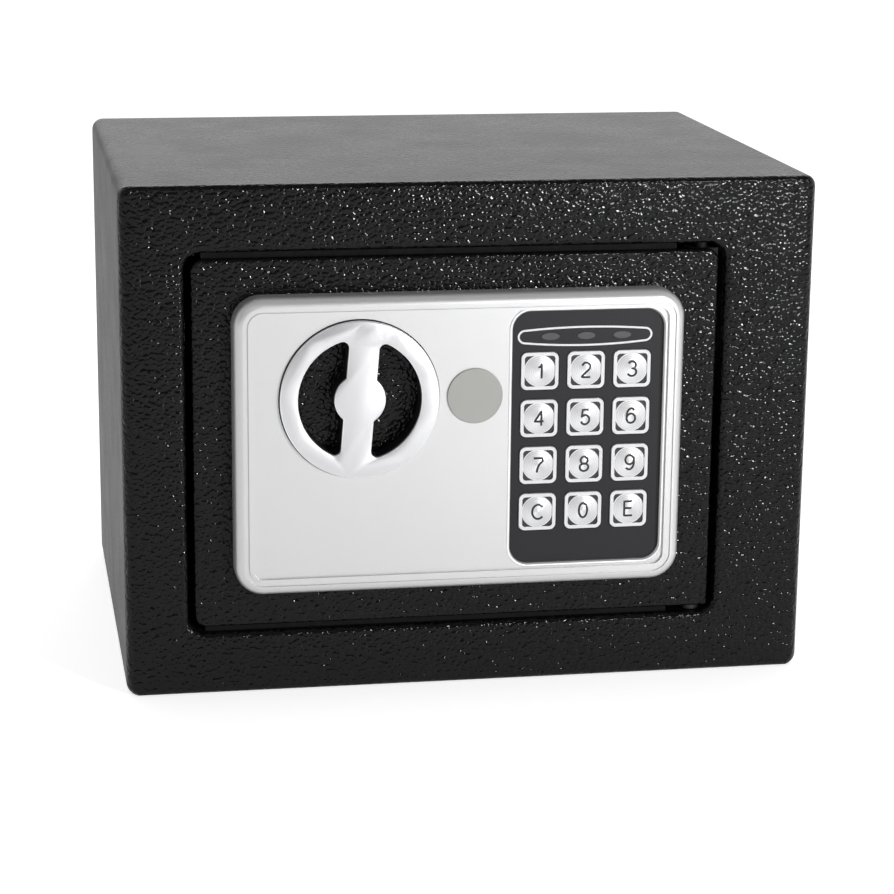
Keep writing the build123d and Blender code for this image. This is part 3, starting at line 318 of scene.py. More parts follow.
def hammered_paint(paint):
    """Black powder coat with a pebbled grain, glossier on the front than on the sides and top, and
    darkened between the pebbles as painted shade.
    """
    colour = tuple(paint.colour)
    coat = Finish("hammered_black_paint", colour, roughness=paint.roughness)
    coat.set("Specular IOR Level", 0.17)
    grain, warp, fine_share = paint.grain, 0.8 * paint.grain, 0.16
    drift = coat.add(
        "ShaderNodeTexNoise", {"Vector": coat.place, "Scale": 0.6 / grain, "Detail": 1.0}
    )
    centred = coat.vector("SUBTRACT", drift.outputs["Color"], (0.5, 0.5, 0.5))
    pull = coat.add("ShaderNodeVectorMath", {0: centred, "Scale": warp}, operation="SCALE")
    warped = coat.vector("ADD", coat.place, pull.outputs[0])
    reach = coat.cells(grain, smoothness=0.12, vector=warped)
    pebbles = coat.math("MULTIPLY", reach, reach)
    fine = coat.noise(grain * 0.45, detail=1.0)
    height = coat.math("SUBTRACT", coat.math("MULTIPLY", fine, fine_share), pebbles)
    coat.set("Normal", coat.bump(height, paint.grain_height))
    dull = coat.noise(20 * MM, detail=3.0)
    y, z = coat.axes()[1:]
    front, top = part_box("body_shell")[0].y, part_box("body_shell")[1].z
    sides = coat.span(z, top - 2.0 * MM, top - 0.5 * MM, paint.side_roughness, paint.top_roughness)
    base = coat.span(y, front + 1.0 * MM, front + 3.0 * MM, paint.roughness, sides)
    patches = coat.span(dull, NOISE_LOW, NOISE_HIGH, -0.02, 0.04)
    coat.set("Roughness", coat.math("ADD", base, patches))
    # Painted shade: the coat's colour darkens to under half between the pebbles, where shade falls
    valley_shade = coat.span(pebbles, 0.1, 0.5)
    coat.set("Base Color", coat.blend(valley_shade, colour, tinted(colour, 0.45)))
    return coat.material


def black_hardware_and_gap_shade(name, roughness=0.6):
    """Near-black oxide on small steel parts in the door gap: partly their own black finish, partly
    painted shade that keeps the gap dark.
    """
    # Painted shade in part: this near-black colour also stands for the shade inside the door gap
    oxide = Finish(name, (0.006, 0.006, 0.006), roughness=roughness)
    oxide.set("Specular IOR Level", 0.2)
    cloud = oxide.noise(3 * MM, detail=4.0)
    oxide.set("Base Color", oxide.blend(cloud, (0.004, 0.004, 0.004), (0.009, 0.009, 0.009)))
    oxide.roughen(cloud, roughness - 0.08, roughness + 0.1)
    oxide.set("Normal", oxide.bump(oxide.noise(0.5 * MM), 0.03 * MM, 0.4))
    return oxide.material


def flocked_felt():
    """Short black nap on the mat."""
    felt = Finish(
        "black_felt", (0.016, 0.016, 0.018), roughness=0.95, Sheen_Weight=0.5, Sheen_Roughness=0.45
    )
    felt.set("Sheen Tint", (0.35, 0.35, 0.38, 1.0))
    fibres = felt.noise(0.9 * MM, detail=5.0, roughness=0.75)
    nap = felt.noise(20 * MM, detail=3.0)
    tips = felt.span(fibres, 0.35, 0.7)
    felt.set("Base Color", felt.blend(tips, (0.010, 0.010, 0.011), (0.035, 0.035, 0.038)))
    height = felt.math("ADD", fibres, felt.math("MULTIPLY", nap, 0.5))
    felt.set("Normal", felt.bump(height, 0.5 * MM, 0.8))
    return felt.material


def zinc_plated(name, tint=(0.58, 0.59, 0.60)):
    """Plated steel with a faint spangle and fine scratches."""
    zinc = Finish(name, tint, metallic=1.0, roughness=0.34)
    spangle = zinc.noise(6 * MM, detail=4.0, roughness=0.6)
    scratches = zinc.noise(1.2 * MM, detail=3.0, vector=zinc.moved(scale=(1.0, 1.0, 0.08)))
    zinc.roughen(spangle, 0.26, 0.44)
    zinc.set("Base Color", zinc.blend(spangle, tinted(tint, 0.82), tinted(tint, 1.12)))
    zinc.set("Normal", zinc.bump(scratches, 0.03 * MM, 0.5))
    return zinc.material


def turned_steel():
    """Bright steel turned about the X axis."""
    steel = Finish("turned_bolt_steel", (0.66, 0.66, 0.67), metallic=1.0, roughness=0.22)
    grooves = steel.noise(0.3 * MM, detail=2.0, vector=steel.moved(scale=(1.0, 0.03, 0.03)))
    steel.roughen(grooves, 0.16, 0.34)
    cloud = steel.noise(12 * MM, detail=3.0)
    steel.set("Base Color", steel.blend(cloud, (0.56, 0.56, 0.57), (0.74, 0.74, 0.75)))
    steel.set("Normal", steel.bump(grooves, 0.02 * MM, 0.6))
    return steel.material


def silver_lacquer(name, colour):
    """Fine silver lacquer on moulded plastic."""
    lacquer = Finish(name, colour, metallic=0.55, roughness=0.36)
    flake = lacquer.noise(0.35 * MM, detail=1.0)
    cloud = lacquer.noise(50 * MM, detail=2.0)
    shares = lacquer.math("MULTIPLY", flake, 0.6), lacquer.math("MULTIPLY", cloud, 0.4)
    mix = lacquer.math("ADD", *shares)
    lacquer.set(
        "Base Color",
        lacquer.blend(
            lacquer.span(mix, NOISE_LOW, NOISE_HIGH), tinted(colour, 0.98), tinted(colour, 1.02)
        ),
    )
    lacquer.roughen(flake, 0.34, 0.42)
    lacquer.set("Normal", lacquer.bump(flake, 0.006 * MM, 0.2))
    return lacquer.material


def brushed_knob(panel, centre, tilt):
    """Metallised knob face, brushed across its bar, with a painted highlight on its bevelled edge.
    """
    colour = tuple(panel.knob)
    metal = Finish("brushed_knob_face", colour, metallic=0.7, roughness=0.32)
    along = metal.moved(location=tuple(centre), rotation=(0.0, tilt, 0.0), scale=(1.0, 1.0, 0.02))
    hair = metal.noise(0.22 * MM, detail=3.0, roughness=0.6, vector=along)
    metal.roughen(hair, 0.30, 0.35)
    # Painted highlight: the bevelled edge behind the face's front is coloured near white
    edge = metal.math("GREATER_THAN", metal.axes()[1], front_of("knob_face") + 0.03 * MM)
    face = metal.blend(hair, tinted(colour, 0.98), tinted(colour, 1.02))
    metal.set("Base Color", metal.blend(edge, face, (0.96, 0.96, 0.96)))
    metal.set("Normal", metal.bump(hair, 0.0015 * MM, 0.3))
    return metal.material


def satin_plastic(name, colour, roughness=0.45, grain=0.4 * MM, depth=0.03 * MM, spread=0.12):
    """Moulded plastic with a fine spark-eroded grain."""
    plastic = Finish(name, colour, roughness=roughness)
    fine = plastic.noise(grain, detail=2.0)
    cloud = plastic.noise(30 * MM, detail=2.0)
    plastic.roughen(fine, max(0.05, roughness - 0.06), roughness + 0.08)
    plastic.set(
        "Base Color",
        plastic.blend(cloud, tinted(colour, 1 - spread), tinted(colour, 1 + spread)),
    )
    plastic.set("Normal", plastic.bump(fine, depth, 0.6))
    return plastic.material


def keypad_film(keypad):
    """Charcoal film with a faint tooth, with painted shade in a ring round each key and a painted
    shadow along its right edge.
    """
    colour = tuple(keypad.film)
    film = Finish("charcoal_keypad_film", colour, roughness=0.42)
    film.set("Specular IOR Level", 0.25)
    tooth = film.noise(0.28 * MM, detail=2.0)
    film.roughen(tooth, 0.36, 0.5)
    x, _, z = grid_place(film)
    keys_low, keys_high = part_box("key_C")[0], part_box("key_3")[1]
    margin, line, right_gap_shade_width = 2 * MM, 0.5 * MM, 0.9 * MM
    # Painted shade: a thin near-black ring just outside each key, where the gap round the key lies
    edge = film.math("LESS_THAN", square_reach(film, x, z, 6.2 * MM, 2.0 * MM), line)
    across, _, up = film.axes()
    edge = film.math("MULTIPLY", edge, film.between(up, keys_low.z - margin, keys_high.z + margin))
    beside = film.between(across, keys_low.x - margin, keys_high.x + margin)
    edge = film.math("MULTIPLY", edge, beside)
    # Painted shadow: a near-black strip along the film's right edge, for the shadowed gap and wall
    # of its pocket
    right_gap_shade = film.math("GREATER_THAN", across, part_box("keypad_overlay")[1].x - right_gap_shade_width)
    edge = film.math("MAXIMUM", edge, right_gap_shade)
    charcoal = film.blend(tooth, tinted(colour, 0.88), tinted(colour, 1.14))
    film.set("Base Color", film.blend(edge, charcoal, tinted(colour, 0.12)))
    film.set("Normal", film.bump(tooth, 0.02 * MM, 0.5))
    return film.material


def grid_place(finish):
    """Place from the middle of the nearest key, across and up, with the depth as it is."""
    first = box_centre("key_1")
    across = box_centre("key_2").x - first.x
    up = first.z - box_centre("key_4").z
    x, y, z = finish.axes()
    local_x = finish.math("WRAP", finish.math("SUBTRACT", x, first.x), across / 2, -across / 2)
    local_z = finish.math("WRAP", finish.math("SUBTRACT", z, first.z), up / 2, -up / 2)
    return local_x, y, local_z


def square_reach(finish, x, z, half, radius):
    """Distance outside a rounded square; it is negative inside."""
    past = []
    for axis in (x, z):
        beyond = finish.math("SUBTRACT", finish.math("ABSOLUTE", axis), half - radius)
        past.append(finish.math("MAXIMUM", beyond, 0.0))
    return finish.math("SUBTRACT", finish.length(*past), radius)


def key_finish(keypad):
    """Printed white frame, black corners and a turned silver disc, on every key of the grid; the
    disc carries its turning rings and a painted sheen in four quarters.
    """
    keys = Finish("silver_key", (0.8, 0.8, 0.82), roughness=0.3)
    x, y, z = grid_place(keys)
    reach = keys.length(x, z)
    disc_radius, corner_start = 5.0 * MM, 5.3 * MM
    square_half, square_corner = 5.1 * MM, 1.1 * MM
    printed_depth, ring_pitch = 1.2 * MM, 0.62 * MM
    disc = keys.math("LESS_THAN", reach, disc_radius)
    inside = keys.math("LESS_THAN", square_reach(keys, x, z, square_half, square_corner), 0.0)
    front = keys.math("LESS_THAN", y, front_of("key_1") + printed_depth)
    outside = keys.math("GREATER_THAN", reach, corner_start)
    corner = keys.math("MULTIPLY", keys.math("MULTIPLY", inside, outside), front)
    face = keys.math("MULTIPLY", disc, front)
    rings = keys.math("SINE", keys.math("MULTIPLY", reach, 2 * math.pi / ring_pitch))
    # Painted sheen: the disc is lighter in two opposite quarters and darker in the other two, as
    # turned metal reflects light
    painted_sheen = keys.math("SINE", keys.math("MULTIPLY", keys.math("ARCTAN2", z, x), 2.0))
    shade = keys.math("ADD", keys.math("MULTIPLY", painted_sheen, 0.35), keys.math("MULTIPLY", rings, 0.2))
    silver = keys.blend(keys.span(shade, -0.55, 0.55), (0.60, 0.60, 0.61), (0.80, 0.80, 0.81))
    body = keys.blend(face, tuple(keypad.print_colour), silver)
    keys.set("Base Color", keys.blend(corner, body, (0.014, 0.014, 0.015)))
    keys.set("Metallic", keys.math("MULTIPLY", face, 0.3))
    keys.set("Normal", keys.bump(keys.math("MULTIPLY", rings, disc), 0.04 * MM, 0.6))
    return keys.material


def lens_finish():
    """Dull smoked plastic over the lamps."""
    lens = Finish("smoked_lens", (0.06, 0.06, 0.063), roughness=0.35)
    cloud = lens.noise(2 * MM, detail=2.0)
    lens.set("Base Color", lens.blend(cloud, (0.052, 0.052, 0.055), (0.070, 0.070, 0.073)))
    return lens.material


def nickel_brass():
    """Nickel-plated brass turned about the Y axis."""
    nickel = Finish("nickel_plated_brass", (0.68, 0.64, 0.54), metallic=1.0, roughness=0.24)
    rings = nickel.noise(0.4 * MM, detail=2.0, vector=nickel.moved(scale=(0.1, 1.0, 0.1)))
    nickel.roughen(rings, 0.18, 0.34)
    cloud = nickel.noise(6 * MM)
    nickel.set("Base Color", nickel.blend(cloud, (0.62, 0.58, 0.48), (0.74, 0.70, 0.60)))
    nickel.set("Normal", nickel.bump(rings, 0.02 * MM, 0.5))
    return nickel.material


def taped_coil():
    """Amber tape wound round the coil, with its overlaps."""
    tape = Finish(
        "amber_coil_tape", (0.50, 0.30, 0.04), roughness=0.28, Coat_Weight=0.5, Coat_Roughness=0.1
    )
    z = tape.axes()[2]
    wire_pitch, tape_pitch = 0.4 * MM, 6.0 * MM
    wire = tape.math("SINE", tape.math("MULTIPLY", z, 2 * math.pi / wire_pitch))
    overlap = tape.math("SINE", tape.math("MULTIPLY", z, 2 * math.pi / tape_pitch))
    layers = tape.span(overlap, -1.0, 1.0)
    tape.set("Base Color", tape.blend(layers, (0.42, 0.22, 0.03), (0.60, 0.38, 0.07)))
    tape.set("Normal", tape.bump(wire, 0.04 * MM, 0.6))
    return tape.material


def board_finish(name, board_low, board_high):
    """Green solder mask with tracks on the board, and dark moulded parts standing on it."""
    board = Finish(name, (0.02, 0.16, 0.06), roughness=0.3)
    x, y, z = board.axes()
    on_board = board.between(y, board_low, board_high)
    tracks_x, tracks_z = [
        board.math("LESS_THAN", board.math("FRACT", board.math("MULTIPLY", axis, 1 / pitch)), width)
        for axis, pitch, width in ((x, 1.9 * MM, 0.22), (z, 2.3 * MM, 0.2))
    ]
    patches = board.noise(6 * MM, detail=0.0)
    choose = board.math("GREATER_THAN", patches, 0.5)
    tracks = board.math(
        "ADD", board.math("MULTIPLY", choose, tracks_x),
        board.math("MULTIPLY", board.math("SUBTRACT", 1.0, choose), tracks_z),
    )
    mask = board.blend(tracks, (0.012, 0.11, 0.04), (0.03, 0.24, 0.09))
    board.set("Base Color", board.blend(on_board, (0.012, 0.012, 0.013), mask))
    board.set("Roughness", board.span(on_board, 0.0, 1.0, 0.5, 0.28))
    board.set("Normal", board.bump(tracks, 0.04 * MM, 0.6))
    return board.material


def cell_finish():
    """Dark jackets, bare metal ends and a copper band, turned end for end in each next cell."""
    low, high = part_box("battery_cells")
    pitch = (high.z - low.z) / 4
    cell = Finish(
        "plain_cell_jacket", (0.02, 0.02, 0.024), roughness=0.25,
        Coat_Weight=0.3, Coat_Roughness=0.1,
    )
    x, _, z = cell.axes()
    cap, copper = 2.2 * MM, 15.0 * MM
    row = cell.math("FLOOR", cell.math("DIVIDE", cell.math("SUBTRACT", z, low.z), pitch))
    odd = cell.math("MODULO", row, 2.0)
    first_end = cell.math("LESS_THAN", x, low.x + cap)
    last_end = cell.math("GREATER_THAN", x, high.x - cap)
    ends = cell.math("MAXIMUM", first_end, last_end)
    left = cell.math("LESS_THAN", x, low.x + copper)
    right = cell.math("GREATER_THAN", x, high.x - copper)
    even_band = cell.math("MULTIPLY", left, cell.math("SUBTRACT", 1.0, odd))
    band = cell.math("ADD", even_band, cell.math("MULTIPLY", right, odd))
    jacket = cell.blend(band, (0.016, 0.016, 0.02), (0.34, 0.17, 0.05))
    cell.set("Base Color", cell.blend(ends, jacket, (0.62, 0.62, 0.63)))
    cell.set("Metallic", ends)
    cell.set("Normal", cell.bump(cell.noise(0.6 * MM), 0.02 * MM, 0.3))
    return cell.material


def print_finish(name, colour, roughness=0.4):
    """Screen-printed ink, with a slightly uneven lay."""
    ink = Finish(name, colour, roughness=roughness)
    lay = ink.noise(0.4 * MM, detail=3.0)
    ink.set("Base Color", ink.blend(lay, tinted(colour, 0.92), tinted(colour, 1.06)))
    ink.roughen(lay, roughness - 0.06, roughness + 0.1)
    return ink.material


def floor_finish(stage):
    """Pale floor that shows as white and keeps the shadow."""
    floor = Finish("studio_floor", tuple(stage.floor_colour), roughness=0.7)
    lay = floor.noise(0.4, detail=2.0)
    colour = tuple(stage.floor_colour)
    floor.set("Base Color", floor.blend(lay, tinted(colour, 0.99), colour))
    path = floor.add("ShaderNodeLightPath")
    seen = floor.math(
        "MINIMUM", floor.math("ADD", path.outputs["Is Camera Ray"], floor.math(
            "ADD", path.outputs["Is Glossy Ray"], path.outputs["Is Transmission Ray"])), 1.0,
    )
    floor.set("Emission Color", (1.0, 1.0, 1.0, 1.0))
    floor.set("Emission Strength", floor.math("MULTIPLY", seen, FLOOR_GLOW))
    return floor.material


def dress(material, *names):
    """Gives these CAD nodes the material."""
    for name in names:
        for slot in nodes[name].material_slots:
            slot.material = material


# Meshes

def deselect():
    if bpy.context.object and bpy.context.object.mode != "OBJECT":
        bpy.ops.object.mode_set(mode="OBJECT")
    bpy.ops.object.select_all(action="DESELECT")


def pick(piece):
    """Makes this piece the only selected one, and the active one."""
    deselect()
    piece.select_set(True)
    bpy.context.view_layer.objects.active = piece


def settle(piece, name, material, body):
    """Names a finished piece, puts its place in its mesh, dresses it and hands it to its body."""
    piece.name = name
    piece.data.name = name
    pick(piece)
    bpy.ops.object.transform_apply(location=True, rotation=True, scale=True)
    piece.data.materials.clear()
    piece.data.materials.append(material)
    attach(piece, body)
    return piece


def arc(x, z, across, up, start, end, steps=20):
    """Points on an ellipse about (x, z), from start to end in degrees, for a mark one unit high."""
    angles = [math.radians(start + (end - start) * i / steps) for i in range(steps + 1)]
    return [(x + across * math.cos(a), z + up * math.sin(a)) for a in angles]


MARK_STROKES = {
    "1": [[(0.10, 0.75), (0.20, 0.79), (0.28, 0.87), (0.31, 1.0), (0.31, 0.0)]],
    "2": [arc(0.29, 0.72, 0.25, 0.28, 165, -28) + [(0.06, 0.10), (0.03, 0.0), (0.56, 0.0)]],
    "3": [arc(0.28, 0.755, 0.23, 0.245, 158, -90) + arc(0.28, 0.27, 0.27, 0.27, 80, -160)],
    "4": [[(0.44, 0.0), (0.44, 1.0), (0.02, 0.30), (0.58, 0.30)]],
    "5": [[(0.52, 1.0), (0.15, 1.0), (0.08, 0.50)] + arc(0.29, 0.32, 0.27, 0.32, 140, -158)],
    "6": [arc(0.33, 0.50, 0.29, 0.50, 48, 180) + arc(0.31, 0.32, 0.27, 0.32, 180, -180, 32)],
    "7": [[(0.04, 1.0), (0.57, 1.0)] + arc(0.98, 0.0, 0.73, 0.92, 120, 180, 12)],
    "8": [arc(0.30, 0.755, 0.22, 0.245, -90, 270, 32), arc(0.30, 0.265, 0.27, 0.265, 90, 450, 32)],
    "9": [arc(0.27, 0.50, 0.29, 0.50, 228, 360) + arc(0.29, 0.68, 0.27, 0.32, 0, -360, 32)],
    "0": [arc(0.30, 0.50, 0.26, 0.50, 90, 450, 36)],
    "C": [arc(0.38, 0.50, 0.37, 0.50, 42, 318, 30)],
    "E": [[(0.56, 1.0), (0.06, 1.0), (0.06, 0.0), (0.58, 0.0)], [(0.06, 0.53), (0.52, 0.53)]],
}


def finer(stroke, step=0.06):
    """The same stroke with a point at least every step along it."""
    points = [stroke[0]]
    for (x0, z0), (x1, z1) in zip(stroke, stroke[1:]):
        parts = max(1, math.ceil(math.hypot(x1 - x0, z1 - z0) / step))
        points += [
            (x0 + (x1 - x0) * i / parts, z0 + (z1 - z0) * i / parts) for i in range(1, parts + 1)
        ]
    return points


def add_mark(keypad, sign):
    """Draws a mark with a round pen, flattens it and lays it on the key's domed disc."""
    deselect()
    bpy.ops.curve.primitive_bezier_curve_add(location=(0, 0, 0))
    pen = bpy.context.object
    line = pen.data
    line.splines.clear()
    strokes = [finer(stroke) for stroke in MARK_STROKES[sign]]
    reach = [x for stroke in strokes for x, z in stroke]
    middle = (min(reach) + max(reach)) / 2
    tall = keypad.mark_height - keypad.mark_stroke
    for stroke in strokes:
        spline = line.splines.new("POLY")
        spline.points.add(len(stroke) - 1)
        for point, (x, z) in zip(spline.points, stroke):
            point.co = ((x - middle) * tall * MARK_WIDENING, 0.0, (z - 0.5) * tall, 1.0)
    line.dimensions = "3D"
    line.bevel_depth = keypad.mark_stroke / 2
    line.bevel_resolution = 2
    line.use_fill_caps = True
    bpy.ops.object.convert(target="MESH")
    mark = bpy.context.object
    key, front = box_centre("key_" + sign), front_of("key_" + sign)
    ball = (KEY_DISC ** 2 + KEY_DOME ** 2) / (2 * KEY_DOME)
    depth = 2 * keypad.mark_thickness / keypad.mark_stroke
    for vertex in mark.data.vertices:
        x, y, z = vertex.co
        sag = ball - math.sqrt(ball ** 2 - x * x - z * z)
        vertex.co = (key.x + x, front + sag + y * depth, key.z + z)
    return mark


def copy_of(name):
    """A merged, clean copy of a CAD node's mesh, to be finished in its place."""
    source = nodes[name]
    copy = bpy.data.objects.new(name + "_copy", source.data.copy())
    bpy.context.scene.collection.objects.link(copy)
    pick(copy)
    bpy.ops.object.mode_set(mode="EDIT")
    bpy.ops.mesh.select_all(action="SELECT")
    bpy.ops.mesh.remove_doubles(threshold=0.002 * MM)
    bpy.ops.mesh.tris_convert_to_quads(
        face_threshold=math.radians(1), shape_threshold=math.radians(180)
    )
    bpy.ops.mesh.dissolve_limited(angle_limit=math.radians(0.5))
    bpy.ops.object.mode_set(mode="OBJECT")
    return copy


class SAFE_OT_stage(bpy.types.Operator):
    """Adds the floor, the soft lamps, the pale surroundings and the camera."""

    bl_idname = "safe.stage"
    bl_label = "Floor, lamps and camera"

    def execute(self, context):
        stage = context.scene.safe_stage
        deselect()
        bpy.ops.mesh.primitive_plane_add(size=stage.floor_size, location=(0, 0, 0))
        floor = context.object
        floor.name = "studio_floor"
        floor.data.materials.append(floor_finish(stage))
        for name, place, target, size, power in LAMPS:
            bpy.ops.object.light_add(type="AREA", location=place)
            lamp = context.object
            lamp.name = name
            lamp.data.shape = "RECTANGLE"
            lamp.data.size, lamp.data.size_y = size
            lamp.data.energy = power
            aim = Vector(target) - Vector(place)
            lamp.rotation_euler = aim.to_track_quat("-Z", "Y").to_euler()
        self.surround(context)
        bpy.ops.object.camera_add(location=stage.camera_place, rotation=stage.camera_turn)
        camera = context.object
        camera.name = "camera"
        camera.data.lens = stage.lens
        camera.data.sensor_width = 36.0
        camera.data.clip_start = 0.01
        camera.data.clip_end = 50.0
        context.scene.camera = camera
        context.scene.view_settings.view_transform = "Standard"
        return {"FINISHED"}

    def surround(self, context):
        """White behind and beside the safe, paler grey in front of it and darker overhead."""
        world = bpy.data.worlds.new("studio")
        context.scene.world = world
        world.use_nodes = True
        tree = world.node_tree
        background = tree.nodes["Background"]
        coordinates = tree.nodes.new("ShaderNodeTexCoord")
        axes = tree.nodes.new("ShaderNodeSeparateXYZ")
        tree.links.new(coordinates.outputs["Generated"], axes.inputs[0])
        shares = []
        for axis, ends, values in SURROUND:
            share = tree.nodes.new("ShaderNodeMapRange")
            share.interpolation_type = "SMOOTHSTEP"
            tree.links.new(axes.outputs[axis], share.inputs["Value"])
            share.inputs["From Min"].default_value, share.inputs["From Max"].default_value = ends
            share.inputs["To Min"].default_value, share.inputs["To Max"].default_value = values
            shares.append(share.outputs["Result"])
        strength = tree.nodes.new("ShaderNodeMath")
        strength.operation = "MULTIPLY"
        tree.links.new(shares[0], strength.inputs[0])
        tree.links.new(shares[1], strength.inputs[1])
        tree.links.new(strength.outputs[0], background.inputs["Strength"])
        background.inputs["Color"].default_value = (1.0, 1.0, 1.0, 1.0)


class SAFE_OT_steel_box(bpy.types.Operator):
    """Paints the wrapper, back, door plate and inner cover, and lays the felt mat."""

    bl_idname = "safe.steel_box"
    bl_label = "Steel box and door"

    def execute(self, context):
        paint = hammered_paint(context.scene.safe_paint)
        dress(paint, "back_panel", "door_plate", "inner_cover")
        self.wrapper(context.scene.safe_paint, paint)
        # The door stops are made near-black, partly as painted shade for the door gap
        dress(black_hardware_and_gap_shade("black_door_stops_gap_shade", 0.85), "door_stops")
        dress(flocked_felt(), "floor_mat")
        return {"FINISHED"}

    def wrapper(self, settings, paint):
        """The wrapper, with the wide soft fold that its front has at the left and right."""
        low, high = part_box("body_shell")
        middle = (low + high) / 2
        half_x, half_z = (high.x - low.x) / 2, (high.z - low.z) / 2
        shell = copy_of("body_shell")
        for vertex in shell.data.vertices:
            x, z = vertex.co.x - middle.x, vertex.co.z - middle.z
            out_x, out_z = abs(x) - (half_x - EDGE), abs(z) - (half_z - EDGE)
            if out_x > 0 and out_z > 0:
                far = math.hypot(out_x, out_z)
                inwards = Vector((-math.copysign(out_x / far, x), -math.copysign(out_z / far, z)))
                inset = EDGE - far
            elif half_x - abs(x) < half_z - abs(z):
                inwards, inset = Vector((-math.copysign(1, x), 0)), half_x - abs(x)
            else:
                inwards, inset = Vector((0, -math.copysign(1, z))), half_z - abs(z)
            depth = vertex.co.y - low.y
            on_fold = abs(math.hypot(FOLD - depth, FOLD - inset) - FOLD) < FOLD_FIT
            if max(depth, inset) < FOLD + FOLD_SLACK and on_fold:
                growth = 1 + (settings.fold / FOLD - 1) * abs(inwards.x)
                shift = inwards * inset * (growth - 1)
                vertex.co = (vertex.co.x + shift.x, low.y + depth * growth, vertex.co.z + shift.y)
        pick(shell)
        bpy.ops.object.shade_smooth_by_angle(angle=math.radians(30))
        settle(shell, "folded_wrapper", paint, "safe_body")
        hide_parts("body_shell")


class SAFE_OT_hinge(bpy.types.Operator):
    """Finishes the hinge pins, lugs, plates and washer."""

    bl_idname = "safe.hinge"
    bl_label = "Hinge"

    def execute(self, context):
        dress(black_hardware_and_gap_shade("black_hinge_steel"), "hinge_plates", "hinge_lugs", "hinge_pins")
        dress(satin_plastic("black_nylon_washer", (0.008, 0.008, 0.008), 0.6), "hinge_washer")
        return {"FINISHED"}


class SAFE_OT_front_panel(bpy.types.Operator):
    """Finishes the silver front panel and the cover over the emergency lock."""

    bl_idname = "safe.front_panel"
    bl_label = "Front panel"

    def execute(self, context):
        panel = context.scene.safe_panel
        dress(silver_lacquer("silver_lacquer", tuple(panel.silver)), "front_panel")
        self.pocket_bead(panel)
        cover = satin_plastic("grey_key_cover", tuple(panel.cap), 0.5, grain=0.5 * MM, spread=0.03)
        dress(cover, "key_cap")
        return {"FINISHED"}

    def pocket_bead(self, panel):
        """A rounded bead on the panel, right round the keypad's pocket, in the panel's lacquer made
        near white as a painted highlight.
        """
        low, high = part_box("keypad_overlay")
        middle, field = (low + high) / 2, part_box("front_panel")[0].y + FIELD_DEPTH
        across, up = high.x - low.x + 2 * panel.bead_gap, high.z - low.z + 2 * panel.bead_gap
        deselect()
        bpy.ops.mesh.primitive_plane_add(size=1.0, location=(0, 0, 0))
        bead = bpy.context.object
        bead.scale = (across + panel.bead_width, up + panel.bead_width, 1.0)
        bpy.ops.object.transform_apply(scale=True)
        bpy.ops.object.mode_set(mode="EDIT")
        bpy.ops.mesh.select_all(action="SELECT")
        bpy.ops.mesh.bevel(
            offset=POCKET_CORNER + panel.bead_width / 2, segments=12, affect="VERTICES"
        )
        bpy.ops.mesh.delete(type="ONLY_FACE")
        bpy.ops.object.mode_set(mode="OBJECT")
        bpy.ops.object.convert(target="CURVE")
        bead = bpy.context.object
        bead.data.bevel_depth = panel.bead_width / 2
        bead.data.bevel_resolution = 3
        bpy.ops.object.convert(target="MESH")
        bead = bpy.context.object
        bead.data.transform(Matrix.Rotation(math.radians(90), 4, "X"))
        bead.data.transform(Matrix.Diagonal((1.0, BEAD_FLATNESS, 1.0, 1.0)))
        bead.data.transform(Matrix.Translation((middle.x, field, middle.z)))
        bpy.ops.object.shade_smooth()
        # Painted highlight: the bead's lacquer is made near white rather than the panel's silver
        bright = silver_lacquer("bead_highlight_lacquer", (0.92, 0.92, 0.92))
        settle(bead, "keypad_pocket_bead", bright, "door")


class SAFE_OT_knob(bpy.types.Operator):
    """Finishes the knob face, its body and the spindle behind it."""

    bl_idname = "safe.knob"
    bl_label = "Turning knob"

    def execute(self, context):
        panel = context.scene.safe_panel
        face = copy_of("knob_face")
        edge = face.modifiers.new("edge", "BEVEL")
        edge.limit_method = "ANGLE"
        edge.angle_limit = math.radians(40)
        edge.width = 0.4 * MM
        edge.segments = 2
        bpy.ops.object.modifier_apply(modifier="edge")
        bpy.ops.object.shade_smooth_by_angle(angle=math.radians(35))
        metal = brushed_knob(panel, box_centre("knob_face"), math.radians(4.5))
        settle(face, "knob_face_disc", metal, "knob")
        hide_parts("knob_face")
        body = satin_plastic("black_knob_body", (0.012, 0.012, 0.013), 0.4, grain=0.5 * MM)
        dress(body, "knob_body")
        dress(turned_steel(), "knob_spindle")
        dress(zinc_plated("zinc_clip_steel"), "knob_clip", "knob_crank")
        return {"FINISHED"}


class SAFE_OT_keypad(bpy.types.Operator):
    """Finishes the keypad film, the keys and the lamp lenses."""

    bl_idname = "safe.keypad"
    bl_label = "Keypad"

    def execute(self, context):
        keypad = context.scene.safe_keypad
        dress(keypad_film(keypad), "keypad_overlay")
        dress(key_finish(keypad), *("key_" + sign for sign in KEY_MARKS))
        dress(lens_finish(), "led_lenses")
        return {"FINISHED"}


class SAFE_OT_key_marks(bpy.types.Operator):
    """Prints the digits and the two function letters on the keys."""

    bl_idname = "safe.key_marks"
    bl_label = "Key marks"

    def execute(self, context):
        keypad = context.scene.safe_keypad
        ink = print_finish("black_key_ink", tuple(keypad.mark_colour), 0.5)
        for sign in KEY_MARKS:
            settle(add_mark(keypad, sign), "mark_" + sign, ink, "push_" + sign)
        return {"FINISHED"}


